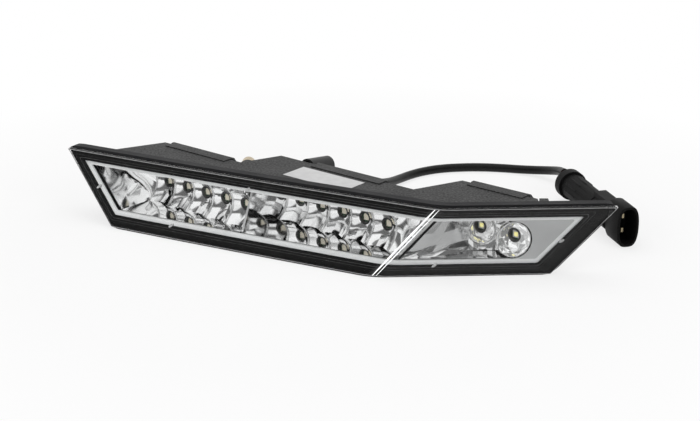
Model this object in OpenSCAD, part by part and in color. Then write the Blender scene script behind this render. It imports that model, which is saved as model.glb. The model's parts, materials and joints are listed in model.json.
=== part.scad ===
// Vehicle indicator lamp: a long creased lamp unit for the corner of a bumper.
// The clear lens bends at a slanted crease and both of its ends are cut at a slant.
// Behind it a moulded housing steps back in three saw teeth. The long face of each
// tooth carries an LED board that points along the vehicle, and a louvred reflector
// of overlapping scoops stands in front of each amber row. Two facetted cups hold
// the white lamps on the right.
// Curved rings and sheets are mapped from the face: s runs along the lower edge from
// the crease, v runs up, and w runs inward from the outer surface of the lens.

/* [Face] */
// Height of the lens between its lower and upper edges
face_h = 45; // [43:0.5:48]
// Length of the lower edge to the right of the crease
right_len = 111.5; // [108:0.5:120]
// Length of the lower edge to the left of the crease
left_bottom = 199; // [192:1:205]
// Length of the upper edge to the left of the crease
left_top = 284; // [278:1:290]
// Sideways lean of the crease and of the right end for each mm of height
rake = 0.9; // [0.84:0.02:0.96]
// Angle of the right panel, back from straight across
right_back = 2.5; // [1:0.5:4]
// Angle of the left panel, swept back from straight across
left_sweep = 25.5; // [24.5:0.5:26.5]
// Radius of the rounded crease
crease_r = 40; // [30:5:60]
// Radius of the gentle bow along the left panel
bow_r = 6200; // [4500:100:9000]
// How far the rounding runs along each edge from a corner of the lens
corner_run = 2.5; // [1.5:0.5:4]
// How far the rounding runs along each edge from a corner of the black frame
frame_corner_run = 11; // [8:0.5:13]

/* [Lens and frame] */
// Thickness of the clear lens
lens_t = 2.8; // [2:0.1:3.2]
// Thickness of the black frame moulded to the back of the lens
frame_t = 1.6; // [1.2:0.1:2]
// Visible width of the black frame along the top and bottom
frame_rail = 7.1; // [6.5:0.1:8]
// Visible width of the black frame at the left end
frame_left = 5; // [4.5:0.1:6]
// Visible width of the black frame at the right end
frame_right = 11; // [10:0.5:13]
// Width of the leg that stands in the housing's channel
leg_w = 2.4; // [1.8:0.1:2.6]
// Height of the leg
leg_h = 2; // [1.5:0.1:2.4]

/* [Housing] */
// Thickness of the housing's walls
wall = 2.2; // [1.8:0.1:2.6]
// How far the channel's outer lip stands past the edge of the lens
lip = 1.3; // [1:0.1:1.8]
// Room for sealant below the leg
glue_t = 1; // [0.6:0.1:1.4]
// Distance from the lens's edges to the top and bottom of the body
body_inset = 3.5; // [3.2:0.1:4]
// Distance from an LED base to the outside of the wall behind it
tooth_depth = 20; // [19:0.5:23]
// Depth of the shallow shelf at the left end, from the face of the lens
shelf_depth = 18; // [16:0.5:19]

/* [Light units] */
// Angle between the vehicle's axis and straight out of the right panel's front
axis_turn = 39; // [38:0.5:40]
// Distance from one amber LED to the next
led_pitch = 18.5; // [18:0.1:19]
// Distance between the two white LEDs
white_pitch = 25.8; // [25:0.2:26.4]
// Focal length of a scoop
scoop_focus = 5; // [4.6:0.1:6]
// Wall thickness of the reflectors
reflector_t = 1.8; // [1.4:0.1:2]
// Outside diameter of the dark ring round each LED
collar_d = 8.8; // [8:0.1:9.4]
// Thickness of the circuit boards
board_t = 1.6; // [1:0.1:2]

/* [Rear] */
// Thickness of the rear covers
cover_t = 2; // [1.6:0.1:2.4]
// Thickness of the seal below each cover
seal_t = 0.8; // [0.6:0.1:1.2]
// How far the covers stand above the housing's top
cover_rise = 0.7; // [0.4:0.1:1]
// How far the lip of each cover reaches over the housing's top
cover_lap = 6.5; // [5:0.5:8]
// Bore of the threaded mounting bushes
bush_bore_d = 5; // [4:0.5:6]
// Outside diameter of the mounting bushes
bush_d = 9.5; // [9:0.1:10.5]
// Length of a mounting bush outside its boss
bush_out = 10; // [8:0.5:12]

/* [Cable] */
// Diameter of the cable's sleeve
cable_d = 6.6; // [6:0.1:7]
// Outside diameter of the plug's rear collar
plug_collar_d = 21.5; // [20.5:0.5:22.5]
// Diameter of the plug's body
plug_body_d = 18; // [17:0.5:19]

/* [Hidden] */

deg = 180 / PI;
lamps = 5;

// Shift from the drawing's own origin, at the foot of the crease, to the part's origin
origin = [31.39, -73.13, 1.3];
module place() translate(origin) children();

// Plan of the face: a straight right panel, a rounded crease and a bowed left panel
crease_len = crease_r * (right_back + left_sweep) / deg;
crease_half = crease_len / 2;
crease_mid = (right_back - left_sweep) / 2;
crease_steps = 8;
// Where the two panels would meet without the rounding
apex = [-0.67, -3.3];

function along(a) = [cos(a), sin(a)];
function inward(a) = [-sin(a), cos(a)];
function arc_step(r, a, b) = r * [sin(b) - sin(a), cos(a) - cos(b)];
function heading(s) =
    abs(s) <= crease_half ? crease_mid + s / crease_r * deg
    : s > 0 ? right_back
    : -left_sweep + (s + crease_half) / bow_r * deg;
crease_foot = apex + crease_r * (1 / cos((right_back + left_sweep) / 2) - 1) * inward(crease_mid);
function plan(s) = crease_foot + (
    abs(s) <= crease_half ? arc_step(crease_r, crease_mid, heading(s))
    : s > 0 ? arc_step(crease_r, crease_mid, right_back) + (s - crease_half) * along(right_back)
    : arc_step(crease_r, crease_mid, -left_sweep) + arc_step(bow_r, -left_sweep, heading(s)));
function face_xy(s, v, w) = plan(s) + [rake * v, 0] + w * inward(heading(s));
function face_pt(s, v, w) = let (p = face_xy(s, v, w)) [p.x, p.y, v];

// Outline of the face as insets from the left, right, lower and upper edges
left_mid_heading = heading(-(left_bottom + left_top) / 2);
left_run = (left_bottom - left_top) / face_h + rake * cos(left_mid_heading);
left_rise = norm([1, rake * sin(left_mid_heading)]);
left_slant = norm([1, left_run / left_rise]);
right_slant = norm([1, rake * cos(right_back)]);
function left_s(v, inset) = -left_bottom + (left_bottom - left_top) / face_h * v + inset * left_slant;
function right_s(inset) = right_len - inset * right_slant;
edge_base = [0, 0, 0, 0];
window_base = [frame_left, frame_right, frame_rail, frame_rail];
lap_base = [frame_left + 0.9, frame_right, frame_rail, frame_rail];
window_run = 1.5;
leg_run = 5;
channel_run = 6;
lip_run = 4;
function inset_by(base, e) = [for (b = base) b + e];

corner_steps = 4;
blunt = 0.5;
bottom_stations = [for (i = [1:3]) -left_bottom + 14 + (left_bottom - 14 - crease_half) * i / 4];
top_stations = [for (i = [1:4]) -left_top + 56 + (left_top - 56 - crease_half) * i / 5];
crease_stations = [for (i = [0:crease_steps]) -crease_half + crease_len * i / crease_steps];

function unit(a) = a / norm(a);
function corner(p, from, to, run) =
    let (a = p + run * unit(from - p), b = p + run * unit(to - p))
    [for (i = [0:corner_steps]) let (t = i / corner_steps)
        (1 - t) * (1 - t) * a + 2 * t * (1 - t) * p + t * t * b];
function backwards(l) = [for (i = [len(l) - 1:-1:0]) l[i]];
function outline(ins, run) =
    let (vb = ins[2], vt = face_h - ins[3],
        bl = [left_s(vb, ins[0]), vb], br = [right_s(ins[1]), vb],
        tr = [right_s(ins[1]), vt], tl = [left_s(vt, ins[0]), vt])
    concat(
        corner(bl, tl, br, run * blunt),
        [for (s = concat(bottom_stations, crease_stations)) [s, vb]],
        corner(br, bl, tr, run * blunt),
        corner(tr, br, tl, run),
        [for (s = backwards(concat(top_stations, crease_stations))) [s, vt]],
        corner(tl, tr, bl, run)
    );

// A closed ring round the face. Each profile point is [base insets, extra inset, w,
// corner run], in the order front outer, front inner, back inner, back outer.
module face_ring(profile) {
    loops = [for (q = profile)
        [for (p = outline(inset_by(q[0], q[1]), q[3])) face_pt(p.x, p.y, q[2])]];
    n = len(loops[0]);
    k = len(loops);
    polyhedron(
        [for (l = loops) each l],
        [for (i = [0:k - 1], j = [0:n - 1])
            let (a = i * n + j, b = i * n + (j + 1) % n,
                c = (i + 1) % k * n + (j + 1) % n, d = (i + 1) % k * n + j)
            each [[a, c, b], [a, d, c]]]
    );
}

// A sheet between a front and a back grid of points. Rows run from left to right and
// points within a row from bottom to top. With wrap the last row joins the first.
module sheet(front, back, wrap = false) {
    m = len(front);
    n = len(front[0]);
    function f(i, j) = i % m * n + j;
    function b(i, j) = m * n + i % m * n + j;
    rows = wrap ? m : m - 1;
    polyhedron(
        concat([for (r = front) each r], [for (r = back) each r]),
        concat(
            [for (i = [0:rows - 1], j = [0:n - 2]) each [
                [f(i, j), f(i, j + 1), f(i + 1, j + 1)], [f(i, j), f(i + 1, j + 1), f(i + 1, j)],
                [b(i, j), b(i + 1, j + 1), b(i, j + 1)], [b(i, j), b(i + 1, j), b(i + 1, j + 1)]]],
            [for (i = [0:rows - 1]) each [
                [f(i, 0), f(i + 1, 0), b(i + 1, 0)], [f(i, 0), b(i + 1, 0), b(i, 0)],
                [f(i + 1, n - 1), f(i, n - 1), b(i, n - 1)],
                [f(i + 1, n - 1), b(i, n - 1), b(i + 1, n - 1)]]],
            wrap ? [] : [for (j = [0:n - 2]) each [
                [f(0, j + 1), f(0, j), b(0, j)], [f(0, j + 1), b(0, j), b(0, j + 1)],
                [f(m - 1, j), f(m - 1, j + 1), b(m - 1, j + 1)],
                [f(m - 1, j), b(m - 1, j + 1), b(m - 1, j)]]]
        )
    );
}

// A prism whose plan outline slides sideways with height, as the face does
module leaning_prism(outline, z0, z1) {
    n = len(outline);
    polyhedron(
        concat(
            [for (p = outline) [p.x + rake * z0, p.y, z0]],
            [for (p = outline) [p.x + rake * z1, p.y, z1]]
        ),
        concat(
            [[for (i = [0:n - 1]) i]],
            [[for (i = [n - 1:-1:0]) n + i]],
            [for (i = [0:n - 1]) [i, n + i, n + (i + 1) % n, (i + 1) % n]]
        )
    );
}

// A slanted block from one corner and its three edge vectors
module slanted_block(p, a, b, c) {
    polyhedron(
        [p, p + a, p + a + b, p + b, p + c, p + a + c, p + a + b + c, p + b + c],
        [[0, 1, 2, 3], [7, 6, 5, 4], [0, 4, 5, 1], [1, 5, 6, 2], [2, 6, 7, 3], [3, 7, 4, 0]]
    );
}

// Levels behind the face
frame_back = lens_t + frame_t;
leg_end = frame_back + leg_h;
channel_floor = leg_end + glue_t;
flange_back = channel_floor + wall * 0.9;
channel_gap = 0.3;
leg_out = 0.5;
channel_out = leg_out - channel_gap;
channel_in = leg_out + leg_w + channel_gap;
inner_lip_t = 1.6;
flange_in = channel_in + inner_lip_t;
seat_gap = 0.3;
bond = 0.12;
bezel_t = 1.4;
bezel_front = frame_back + seat_gap;
bezel_back = bezel_front + bezel_t;
bezel_lap = 1;
trim_w = 2.4;
skirt_back = channel_floor - seat_gap;
tray_front = channel_floor;

// Heights inside the body
body_z0 = body_inset;
body_z1 = face_h - body_inset;
floor_z = body_z0 + wall;
roof_z = body_z1 - wall;
tray_z0 = frame_rail + trim_w - 0.1;
tray_z1 = face_h - tray_z0;
mid_z = face_h / 2;
rail_z = tray_z0 - reflector_t;

// LED rows: the middle of each row as a place along and behind the face
row_s = [-161.7, -60, 59.8];
row_w = [29.3, 36.4, 22.2];
row_mid = [for (i = [0:2]) face_xy(row_s[i], mid_z, row_w[i])];
row_dir = along(-axis_turn);
row_back = inward(-axis_turn);
function row_xy(i, q, y) = row_mid[i] + q * row_dir + y * row_back;
function row_pt(i, q, y, z) = let (p = row_xy(i, q, y)) [p.x, p.y, z];
module at_row(i) {
    translate([row_mid[i].x, row_mid[i].y, 0]) rotate([0, 0, -axis_turn]) children();
}

// Ends of the long rear faces, along their rows
tooth_ends = [[-62, 12.5], [-73, 41.5], [-41, 16.5]];
start_q = -78.5;
start_y = -17;
end_turn = row_xy(2, tooth_ends[2][1], tooth_depth);
saw_back = [
    row_xy(0, start_q, start_y),
    for (i = [0:2], q = tooth_ends[i]) row_xy(i, q, tooth_depth)
];

// Moves every edge of a plan outline inwards; the outline turns anticlockwise
function cross_at(p, a, q, b) =
    let (t = cross(q - p, b) / cross(a, b)) p + t * a;
function inset_outline(pts, t) =
    let (n = len(pts))
    [for (i = [0:n - 1])
        let (p0 = pts[(i + n - 1) % n], p1 = pts[i], p2 = pts[(i + 1) % n],
            a = unit(p1 - p0), b = unit(p2 - p1))
        cross_at(p1 + t * [-a.y, a.x], a, p1 + t * [-b.y, b.x], b)];

far_front = -40;
far_left = -left_top - 30;
shelf_s = -left_top + 22;
saw_outline = concat(
    [[far_left + rake * face_h, far_front], [end_turn.x, far_front]],
    backwards(saw_back),
    [face_xy(shelf_s, body_z1, shelf_depth), face_xy(far_left, body_z1, shelf_depth)]
);

face_stations = concat([far_left, -left_top + 20], bottom_stations, crease_stations);
function behind_face(w, end_inset, reach) = concat(
    [for (s = face_stations) face_xy(s, 0, w)],
    [face_xy(right_s(end_inset), 0, w), face_xy(right_s(end_inset), 0, reach)],
    [face_xy(far_left, 0, reach)]
);

// The back plate turns between the ring's own stations, so that no two edges nearly meet
plate_shift = 9;
plate_stations = concat(
    [plate_shift + 20 - left_top],
    [for (s = bottom_stations) s + plate_shift],
    [for (i = [0:crease_steps - 1]) -crease_half + crease_len * (i + 0.5) / crease_steps]
);
function face_strip(w0, w1, s0, end_inset) =
    let (mids = [for (s = plate_stations) if (s > s0) s])
    concat(
        [face_xy(s0, 0, w0)], [for (s = mids) face_xy(s, 0, w0)], [face_xy(right_s(end_inset), 0, w0)],
        [face_xy(right_s(end_inset), 0, w1)], [for (s = backwards(mids)) face_xy(s, 0, w1)],
        [face_xy(s0, 0, w1)]
    );

// Everything to the left of the slanted left end, inset by a distance
module left_of_end(inset) {
    foot = face_pt(left_s(0, inset), 0, 0);
    slant = face_pt(left_s(face_h, inset), face_h, 0) - foot;
    deep = inward(left_mid_heading);
    side = along(left_mid_heading);
    slanted_block(
        foot - slant - 60 * [deep.x, deep.y, 0],
        220 * [deep.x, deep.y, 0], -160 * [side.x, side.y, 0], 3 * slant
    );
}

// Covers: the middle of each cover along its row, and its length
cover_mid = [-26, -11, -12];
cover_len = [64, 65, 48];
cover_z0 = body_z0 + 1.5;
cover_z1 = body_z1 + cover_rise;
cover_screw_in = 4;
opening_in = 9;
screw_d = 2.9;
screw_head_d = 5.4;
screw_head_h = 2;
screw_boss_d = 6;
screw_boss_len = 7;
cover_face = tooth_depth + seal_t + cover_t;
function cover_screws_at(i) = [
    for (x = [-1, 1], z = [cover_z0 + cover_screw_in, body_z1 - cover_screw_in])
        [cover_mid[i] + x * (cover_len[i] / 2 - cover_screw_in), z]
];

// Mounting bosses: x and z of each axis, and the y where its boss ends
boss_d = bush_d + 2;
boss_start = [100, 9, 41];
boss_end = [111, 29, 53];
boss_at = [[-86, 34.8], [110, 27], [27, 15]];
foot_t = 4;
foot_z = -lip;
lug_w = 5.5;
lug_top = 41.3;
bush_in = 6;
bush_bore_len = bush_out + bush_in - 3;

// Vent and cable gland on the middle tooth
vent_q = -50.5;
vent_z = 36.3;
nipple_d = 6;
nipple_len = 8;
vent_bore = 3;
gland_q = -30;
gland_z = 20.7;
gland_d = 12;
gland_hole_d = 9;

// Rails on the housing's floor that carry the reflectors and boards
rail_t = 2;
rail_q = [[-34, 34], [-34, 8, 34], [-12, 10]];
rail_front = [6, 6, -2.5];
rail_back = [8, 17, 12];
rest_x = [50, 68];
rest_y = 9;
rest_len = 9;

module housing() place() color("dimgray") {
    face_ring([for (q = [
        [-lip, lens_t + seat_gap, frame_corner_run], [channel_out, lens_t + seat_gap, frame_corner_run],
        [channel_out, channel_floor, frame_corner_run], [channel_in, channel_floor, channel_run],
        [channel_in, frame_back + seat_gap, channel_run], [flange_in, frame_back + seat_gap, lip_run],
        [flange_in, flange_back, lip_run], [-lip, flange_back, frame_corner_run]
    ]) [edge_base, q[0], q[1], q[2]]]);
    difference() {
        union() {
            difference() {
                leaning_prism(face_strip(channel_floor, flange_back - 0.3, far_left, channel_in + 0.6),
                    channel_in + 0.6, face_h - channel_in - 0.6);
                left_of_end(channel_in + 0.6);
            }
            difference() {
                intersection() {
                    translate([0, 0, body_z0]) linear_extrude(body_z1 - body_z0) polygon(saw_outline);
                    leaning_prism(
                        behind_face(channel_floor + 0.2, body_inset, 190), body_z0 - 1, body_z1 + 1
                    );
                }
                left_of_end(body_inset);
            }
            for (i = [0:2]) translate([boss_at[i].x, boss_end[i], boss_at[i].y]) rotate([90, 0, 0])
                cylinder(d = boss_d, h = boss_end[i] - boss_start[i], $fn = 48);
            for (i = [0, 2]) translate([boss_at[i].x - foot_t / 2, boss_start[i] + 3, foot_z])
                cube([foot_t, boss_end[i] - boss_start[i] - 5, boss_at[i].y - foot_z]);
            translate([boss_at[1].x - boss_d / 2 + 1, boss_start[1], boss_at[1].y])
                cube([lug_w, boss_end[1] - boss_start[1] - 1, lug_top - boss_at[1].y]);
            at_row(1) translate([vent_q, tooth_depth - 0.5, vent_z]) rotate([-90, 0, 0])
                cylinder(d = nipple_d, h = nipple_len + 0.5, $fn = 32);
        }
        difference() {
            translate([0, 0, floor_z]) linear_extrude(roof_z - floor_z)
                polygon(inset_outline(saw_outline, wall));
            left_of_end(body_inset + wall);
        }
        for (i = [0:2]) at_row(i) translate([
            cover_mid[i] - cover_len[i] / 2 + opening_in, tooth_depth - wall - 1, cover_z0 + opening_in
        ]) cube([cover_len[i] - 2 * opening_in, wall + 2, body_z1 - cover_z0 - 2 * opening_in]);
        for (i = [0:2]) translate([boss_at[i].x, boss_end[i] + 1, boss_at[i].y]) rotate([90, 0, 0])
            cylinder(d = bush_d, h = bush_in + 1, $fn = 48);
        at_row(1) translate([vent_q, tooth_depth - wall - 1, vent_z]) rotate([-90, 0, 0])
            cylinder(d = vent_bore, h = nipple_len + wall + 2, $fn = 24);
        for (i = [0:2]) for (p = cover_screws_at(i)) at_row(i)
            translate([p.x, tooth_depth - wall - 1, p.y]) rotate([-90, 0, 0])
                cylinder(d = screw_d, h = wall + 2, $fn = 24);
    }
    for (i = [0:2]) for (p = cover_screws_at(i)) at_row(i)
        translate([p.x, tooth_depth - wall + 0.2, p.y]) rotate([90, 0, 0]) difference() {
            cylinder(d = screw_boss_d, h = screw_boss_len, $fn = 32);
            translate([0, 0, -1]) cylinder(d = screw_d, h = screw_boss_len, $fn = 24);
        }
    for (i = [0:2], q = rail_q[i]) at_row(i)
        translate([q - rail_t / 2, -rail_front[i], floor_z - 0.2])
            cube([rail_t, rail_front[i] + rail_back[i], rail_z - floor_z + 0.2]);
    for (x = rest_x) translate([x, rest_y, floor_z - 0.2])
        cube([rail_t, rest_len, rail_z - floor_z + 0.2]);
}

edge_steps = [[0, 1.2], [0.5, 0.35], [1.5, 0]];
function sorted(l) = len(l) < 2 ? l :
    let (m = l[floor(len(l) / 2)])
    concat(sorted([for (x = l) if (x < m - 0.05) x]), [m], sorted([for (x = l) if (x > m + 0.05) x]));
function first_at(l, x) = [for (i = [0:len(l) - 1]) if (l[i] == x) i][0];
function walk(pts, from, to, step) =
    let (n = len(pts), span = ((to - from) * step % n + n) % n)
    [for (i = [0:span]) pts[((from + i * step) % n + n) % n]];

module lens() place() color([0.85, 0.88, 0.9, 0.35]) {
    pts = outline(edge_base, corner_run);
    ss = [for (p = pts) p.x];
    left_i = first_at(ss, min(ss));
    low = walk(pts, left_i, first_at(ss, max(ss)), 1);
    high = walk(pts, left_i, first_at(ss, max(ss)) + 1, -1);
    inner = [for (s = ss) if (s > min(ss) + 0.7 && s < max(ss) - 0.3) s];
    stations = sorted(concat([min(ss) + 0.4], inner, [max(ss) - 0.05]));
    last = len(stations) - 1;
    rows = [for (i = [0:last]) let (s = stations[i], a = lookup(s, low), b = lookup(s, high),
        half = (b - a) / 2.2, end_w = lookup(min(s - min(ss), max(ss) - s), edge_steps))
        [
            for (e = edge_steps) [s, a + min(e[0], half * e[0] / 1.5), max(e[1], end_w)],
            for (e = backwards(edge_steps)) [s, b - min(e[0], half * e[0] / 1.5), max(e[1], end_w)]
        ]];
    sheet(
        [for (r = rows) [for (p = r) face_pt(p.x, p.y, p.z)]],
        [for (r = rows) [for (p = r) face_pt(p.x, p.y, lens_t)]]
    );
}

module lens_frame() place() color("black")
    face_ring([
        [edge_base, leg_out, lens_t + bond, frame_corner_run], [window_base, 0, lens_t + bond, window_run],
        [window_base, 0, frame_back - 0.6, window_run], [window_base, -2.6, frame_back, window_run],
        [edge_base, leg_out + leg_w, frame_back, leg_run],
        [edge_base, leg_out + leg_w, leg_end, leg_run], [edge_base, leg_out, leg_end, frame_corner_run]
    ]);

module glue_seal() place() color("gray")
    face_ring([for (q = [
        [leg_out, leg_end + bond, frame_corner_run], [leg_out + leg_w, leg_end + bond, leg_run],
        [leg_out + leg_w, channel_floor - bond, leg_run], [leg_out, channel_floor - bond, frame_corner_run]
    ]) [edge_base, q[0], q[1], q[2]]]);

module bezel() place() color("silver") {
    face_ring([
        [lap_base, -bezel_lap, bezel_front, window_run],
        [window_base, trim_w, bezel_front, window_run],
        [window_base, trim_w, skirt_back, window_run],
        [window_base, trim_w - bezel_t, skirt_back, window_run],
        [window_base, trim_w - bezel_t, bezel_back, window_run],
        [lap_base, -bezel_lap, bezel_back, window_run]
    ]);
    difference() {
        intersection() {
            leaning_prism(face_strip(bezel_front + 0.1, bezel_back - 0.1, crease_half + 1, frame_right - 0.6),
                frame_rail - 0.6, face_h - frame_rail + 0.6);
            translate([plate_x, -20, 0]) cube([100, 60, face_h]);
        }
        aperture(cup_b_mid, cup_b_r, 0.5);
    }
}

// Where a line running forward from an LED row meets a surface behind the face
function hit_s(i, q, z, w, s, turns) = turns == 0 ? s :
    let (n = inward(heading(s)), from = row_xy(i, q, 0) - [rake * z, 0] - plan(s),
        y = (w - from * n) / (row_back * n))
    hit_s(i, q, z, w, s + (from + y * row_back) * along(heading(s)), turns - 1);
function front_y(i, q, z, w) =
    let (s = hit_s(i, q, z, w, row_s[i] + q * 0.9, 6), n = inward(heading(s)))
    (w - (row_xy(i, q, 0) - [rake * z, 0] - plan(s)) * n) / (row_back * n);

// Scoops: each is part of a paraboloid with its LED at the focus
wall_front = tray_front + 0.6;
z_steps = 8;
levels = [for (j = [0:z_steps]) tray_z0 + (tray_z1 - tray_z0) * j / z_steps];
scoop_steps = 6;
function lamp_q(i) = (i - (lamps - 1) / 2) * led_pitch;
function scoop_y(i, q, near, z) =
    max(-(pow(q - near, 2) + pow(z - mid_z, 2)) / (4 * scoop_focus), front_y(i, q, z, wall_front));
scoop_stations = [for (k = [0:lamps - 1], j = [0:scoop_steps - 1])
    [lamp_q(k) + (j / scoop_steps - 0.5) * led_pitch, lamp_q(k)]];
row_end = lamps / 2 * led_pitch;

// One column of a tray: front edge of the floor, the wall points, front edge of the roof
function column(i, wall_pts) = concat(
    [[wall_pts[0].x, front_y(i, wall_pts[0].x, tray_z0, tray_front), tray_z0]],
    wall_pts,
    [[wall_pts[z_steps].x, front_y(i, wall_pts[z_steps].x, tray_z1, tray_front), tray_z1]]
);
function outside(i, col, side, back) =
    let (n = len(col), t = reflector_t)
    [for (j = [0:n - 1]) let (
        p = col[j], edge = j == 0 || j == n - 1,
        x = p.x + side * t, z = j < 2 ? p.z - t : j > n - 3 ? p.z + t : p.z
    ) [x, edge ? front_y(i, x, z, tray_front) : p.y + back * t, z]];
function scoop_columns(i) = concat(
    [for (st = scoop_stations) column(i, [for (z = levels) [st.x, scoop_y(i, st.x, st.y, z), z]])],
    [column(i, [for (z = levels) [row_end, scoop_y(i, row_end, lamp_q(lamps - 1), z), z]])]
);
function bend(a, c, b, t) = (1 - t) * (1 - t) * a + 2 * t * (1 - t) * c + t * t * b;
function to_row(i, p) = [([p.x, p.y] - row_mid[i]) * row_dir, ([p.x, p.y] - row_mid[i]) * row_back, p.z];

// Left tray: a pocket curls forward from the first ridge to the slanted end of the window
pocket_inset = frame_left + trim_w + 1;
pocket_turns = [1, 0.86, 0.7, 0.54, 0.36, 0.18];
pocket_y = -7;
left_pocket = [for (t = pocket_turns) column(0, [for (z = levels)
    let (e = to_row(0, face_pt(left_s(z, pocket_inset), z, wall_front)),
        a = [-row_end, scoop_y(0, -row_end, lamp_q(0), z), z])
    bend(a, [e.x, max(pocket_y, e.y + 4), z], e, t)])];

module lamp_holes(d) {
    for (k = [0:lamps - 1]) translate([lamp_q(k), -4, mid_z]) rotate([-90, 0, 0])
        cylinder(d = d, h = 8, $fn = 32);
}

module reflector_left() place() color("whitesmoke") at_row(0) difference() {
    cols = concat(left_pocket, scoop_columns(0));
    n = len(left_pocket);
    sheet(cols, [for (k = [0:len(cols) - 1])
        outside(0, cols[k], k < n ? -pocket_turns[k] : 0, k < n ? 1 - pocket_turns[k] : 1)]);
    lamp_holes(collar_hole_d);
}

// Middle tray: a plain pocket wall on the left, and a wall that closes at the crease
pocket_wall_q = -48.4;
crease_seam = 4;
crease_turns = [0.3, 0.65, 1];
middle_pocket = [for (t = pocket_turns) column(1, [for (z = levels)
    let (e = [pocket_wall_q, front_y(1, pocket_wall_q, z, wall_front), z],
        a = [-row_end, scoop_y(1, -row_end, lamp_q(0), z), z])
    bend(a, [pocket_wall_q + 1, -2, z], e, t)])];
crease_wall = [for (t = crease_turns) column(1, [for (z = levels)
    let (e = to_row(1, face_pt(crease_seam, z, wall_front)),
        a = [row_end, scoop_y(1, row_end, lamp_q(lamps - 1), z), z])
    bend(a, [row_end + 8, -1, z], e, t)])];

module reflector_middle() place() color("whitesmoke") at_row(1) difference() {
    left = len(middle_pocket);
    mid = scoop_columns(1);
    sheet(concat(middle_pocket, mid, crease_wall), concat(
        [for (k = [0:left - 1]) outside(1, middle_pocket[k], -pocket_turns[k], 1 - pocket_turns[k])],
        [for (c = mid) outside(1, c, 0, 1)],
        [for (k = [0:len(crease_wall) - 1]) outside(1, crease_wall[k], crease_turns[k] * 0.8, 1)]
    ));
    lamp_holes(collar_hole_d);
}

// Right reflector: a facetted wall, a plate round the first cup, and two facetted cups
cup_a_mid = face_pt(49.2, 22.9, 21.2);
cup_a_r = [8.8, 9.2];
cup_b_mid = face_pt(67.5, 22.3, 5.6);
cup_b_r = [11.2, 12];
cup_sides = 12;
cup_t = 1.3;
plate_x = 84;
right_seam = crease_seam + 4.6;
wall_end = [60, 20];
plate_end = [77.5, 20.5];
facet_levels = [tray_z0 - 0.5, 14, 19, 27, tray_z1 + 0.5];
facet_bumps = [
    [0, 0, 0, 0, 0], [-2, 0.2, 1.4, 0.3, 1], [-4, 1.2, 0.2, 1.6, 0.3],
    [-3, 0.2, 1, 0.2, 0.8], [-1, 0, 0, 0, 0]
];

function facet_column(k, back) = [for (j = [0:4])
    let (z = facet_levels[j], a = face_pt(right_seam, z, wall_front), t = k / 4,
        bump = facet_bumps[k][j])
    [a.x + (wall_end.x - a.x) * t + back * 0.5 * reflector_t,
        a.y + (wall_end.y - a.y) * t + bump + back * reflector_t, z]];
function plate_column(p, back) = [for (z = facet_levels) [p.x, p.y + back * reflector_t, z]];
function rim_column(back) = [for (j = [0:4])
    let (z = facet_levels[j], h = min(abs(z - cup_b_mid.z) / cup_b_r.y, 1), end = j == 0 || j == 4)
    [cup_b_mid.x - cup_b_r.x * sqrt(1 - h * h) + back * reflector_t,
        end ? face_xy(66, z, tray_front + 0.4).y + back : cup_b_mid.y + 0.6 + back, z]];
function oval(r, grow) = [for (k = [0:cup_sides - 1])
    let (a = (k + 0.5) * 360 / cup_sides) [(r.x + grow) * sin(a), (r.y + grow) * cos(a)]];
function ring(mid, turn, r, grow) = [for (p = oval(r, grow)) mid + concat(p.x * along(turn), [p.y])];
module aperture(mid, r, grow) translate(mid) rotate([90, 0, right_back]) translate([0, 0, -12])
    linear_extrude(24) polygon(oval(r, grow));

// A cup from a round opening in the LED plane out to its rim
module cup(q, rim, r) {
    led = row_pt(2, q, -0.4, mid_z);
    r0 = [white_collar_d / 2 + 0.4, white_collar_d / 2 + 0.4];
    a = ring(led, -axis_turn, r0, 0);
    e = ring(rim, right_back, r, 0);
    c = [for (k = [0:cup_sides - 1])
        let (m = (a[k] + e[k]) / 2) m + (m - (led + rim) / 2) * 0.35 + [0, 1.2, 0]];
    rear = cup_t * [row_back.x, row_back.y, 0];
    a2 = [for (p = ring(led, -axis_turn, r0, 0.3)) p + rear];
    e2 = [for (p = ring(rim, right_back, r, 0.25)) p + [0, cup_t, 0]];
    c2 = [for (k = [0:cup_sides - 1]) c[k] + (c[k] - (led + rim) / 2) * 0.08 + [0, cup_t, 0]];
    function step(k) = k % 2 == 0 ? [0.3, 0.72] : [0.42, 0.62];
    sheet(
        [for (k = [0:cup_sides - 1])
            concat([a[k]], [for (t = step(k)) bend(a[k], c[k], e[k], t)], [e[k]])],
        [for (k = [0:cup_sides - 1])
            concat([a2[k]], [for (t = step(k)) bend(a2[k], c2[k], e2[k], t)], [e2[k]])],
        wrap = true
    );
}

module tray_plate(z) {
    edge = right_seam - 0.4;
    front = [for (s = [edge, crease_half, 50, 66]) face_xy(s, z, tray_front)];
    linear_extrude(reflector_t) polygon(concat(front, [
        [plate_x, face_xy(66, z, tray_front).y + 0.6], plate_end + [0, 1],
        wall_end + [0, 1], face_xy(edge, z, wall_front + 1)
    ]));
}

module reflector_right() place() color("whitesmoke") {
    sheet([for (k = [0:4]) facet_column(k, 0)], [for (k = [0:4]) facet_column(k, 1)]);
    translate([0, 0, tray_z0 - reflector_t]) tray_plate(tray_z0);
    translate([0, 0, tray_z1]) tray_plate(tray_z1);
    difference() {
        sheet(
            [plate_column(wall_end, 0), plate_column(plate_end, 0), rim_column(0)],
            [plate_column(wall_end, 1), plate_column(plate_end, 1), rim_column(1)]
        );
        aperture(cup_a_mid, cup_a_r, 0.2);
    }
    cup(-white_pitch / 2, cup_a_mid, cup_a_r);
    cup(white_pitch / 2, cup_b_mid, cup_b_r);
}

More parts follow.
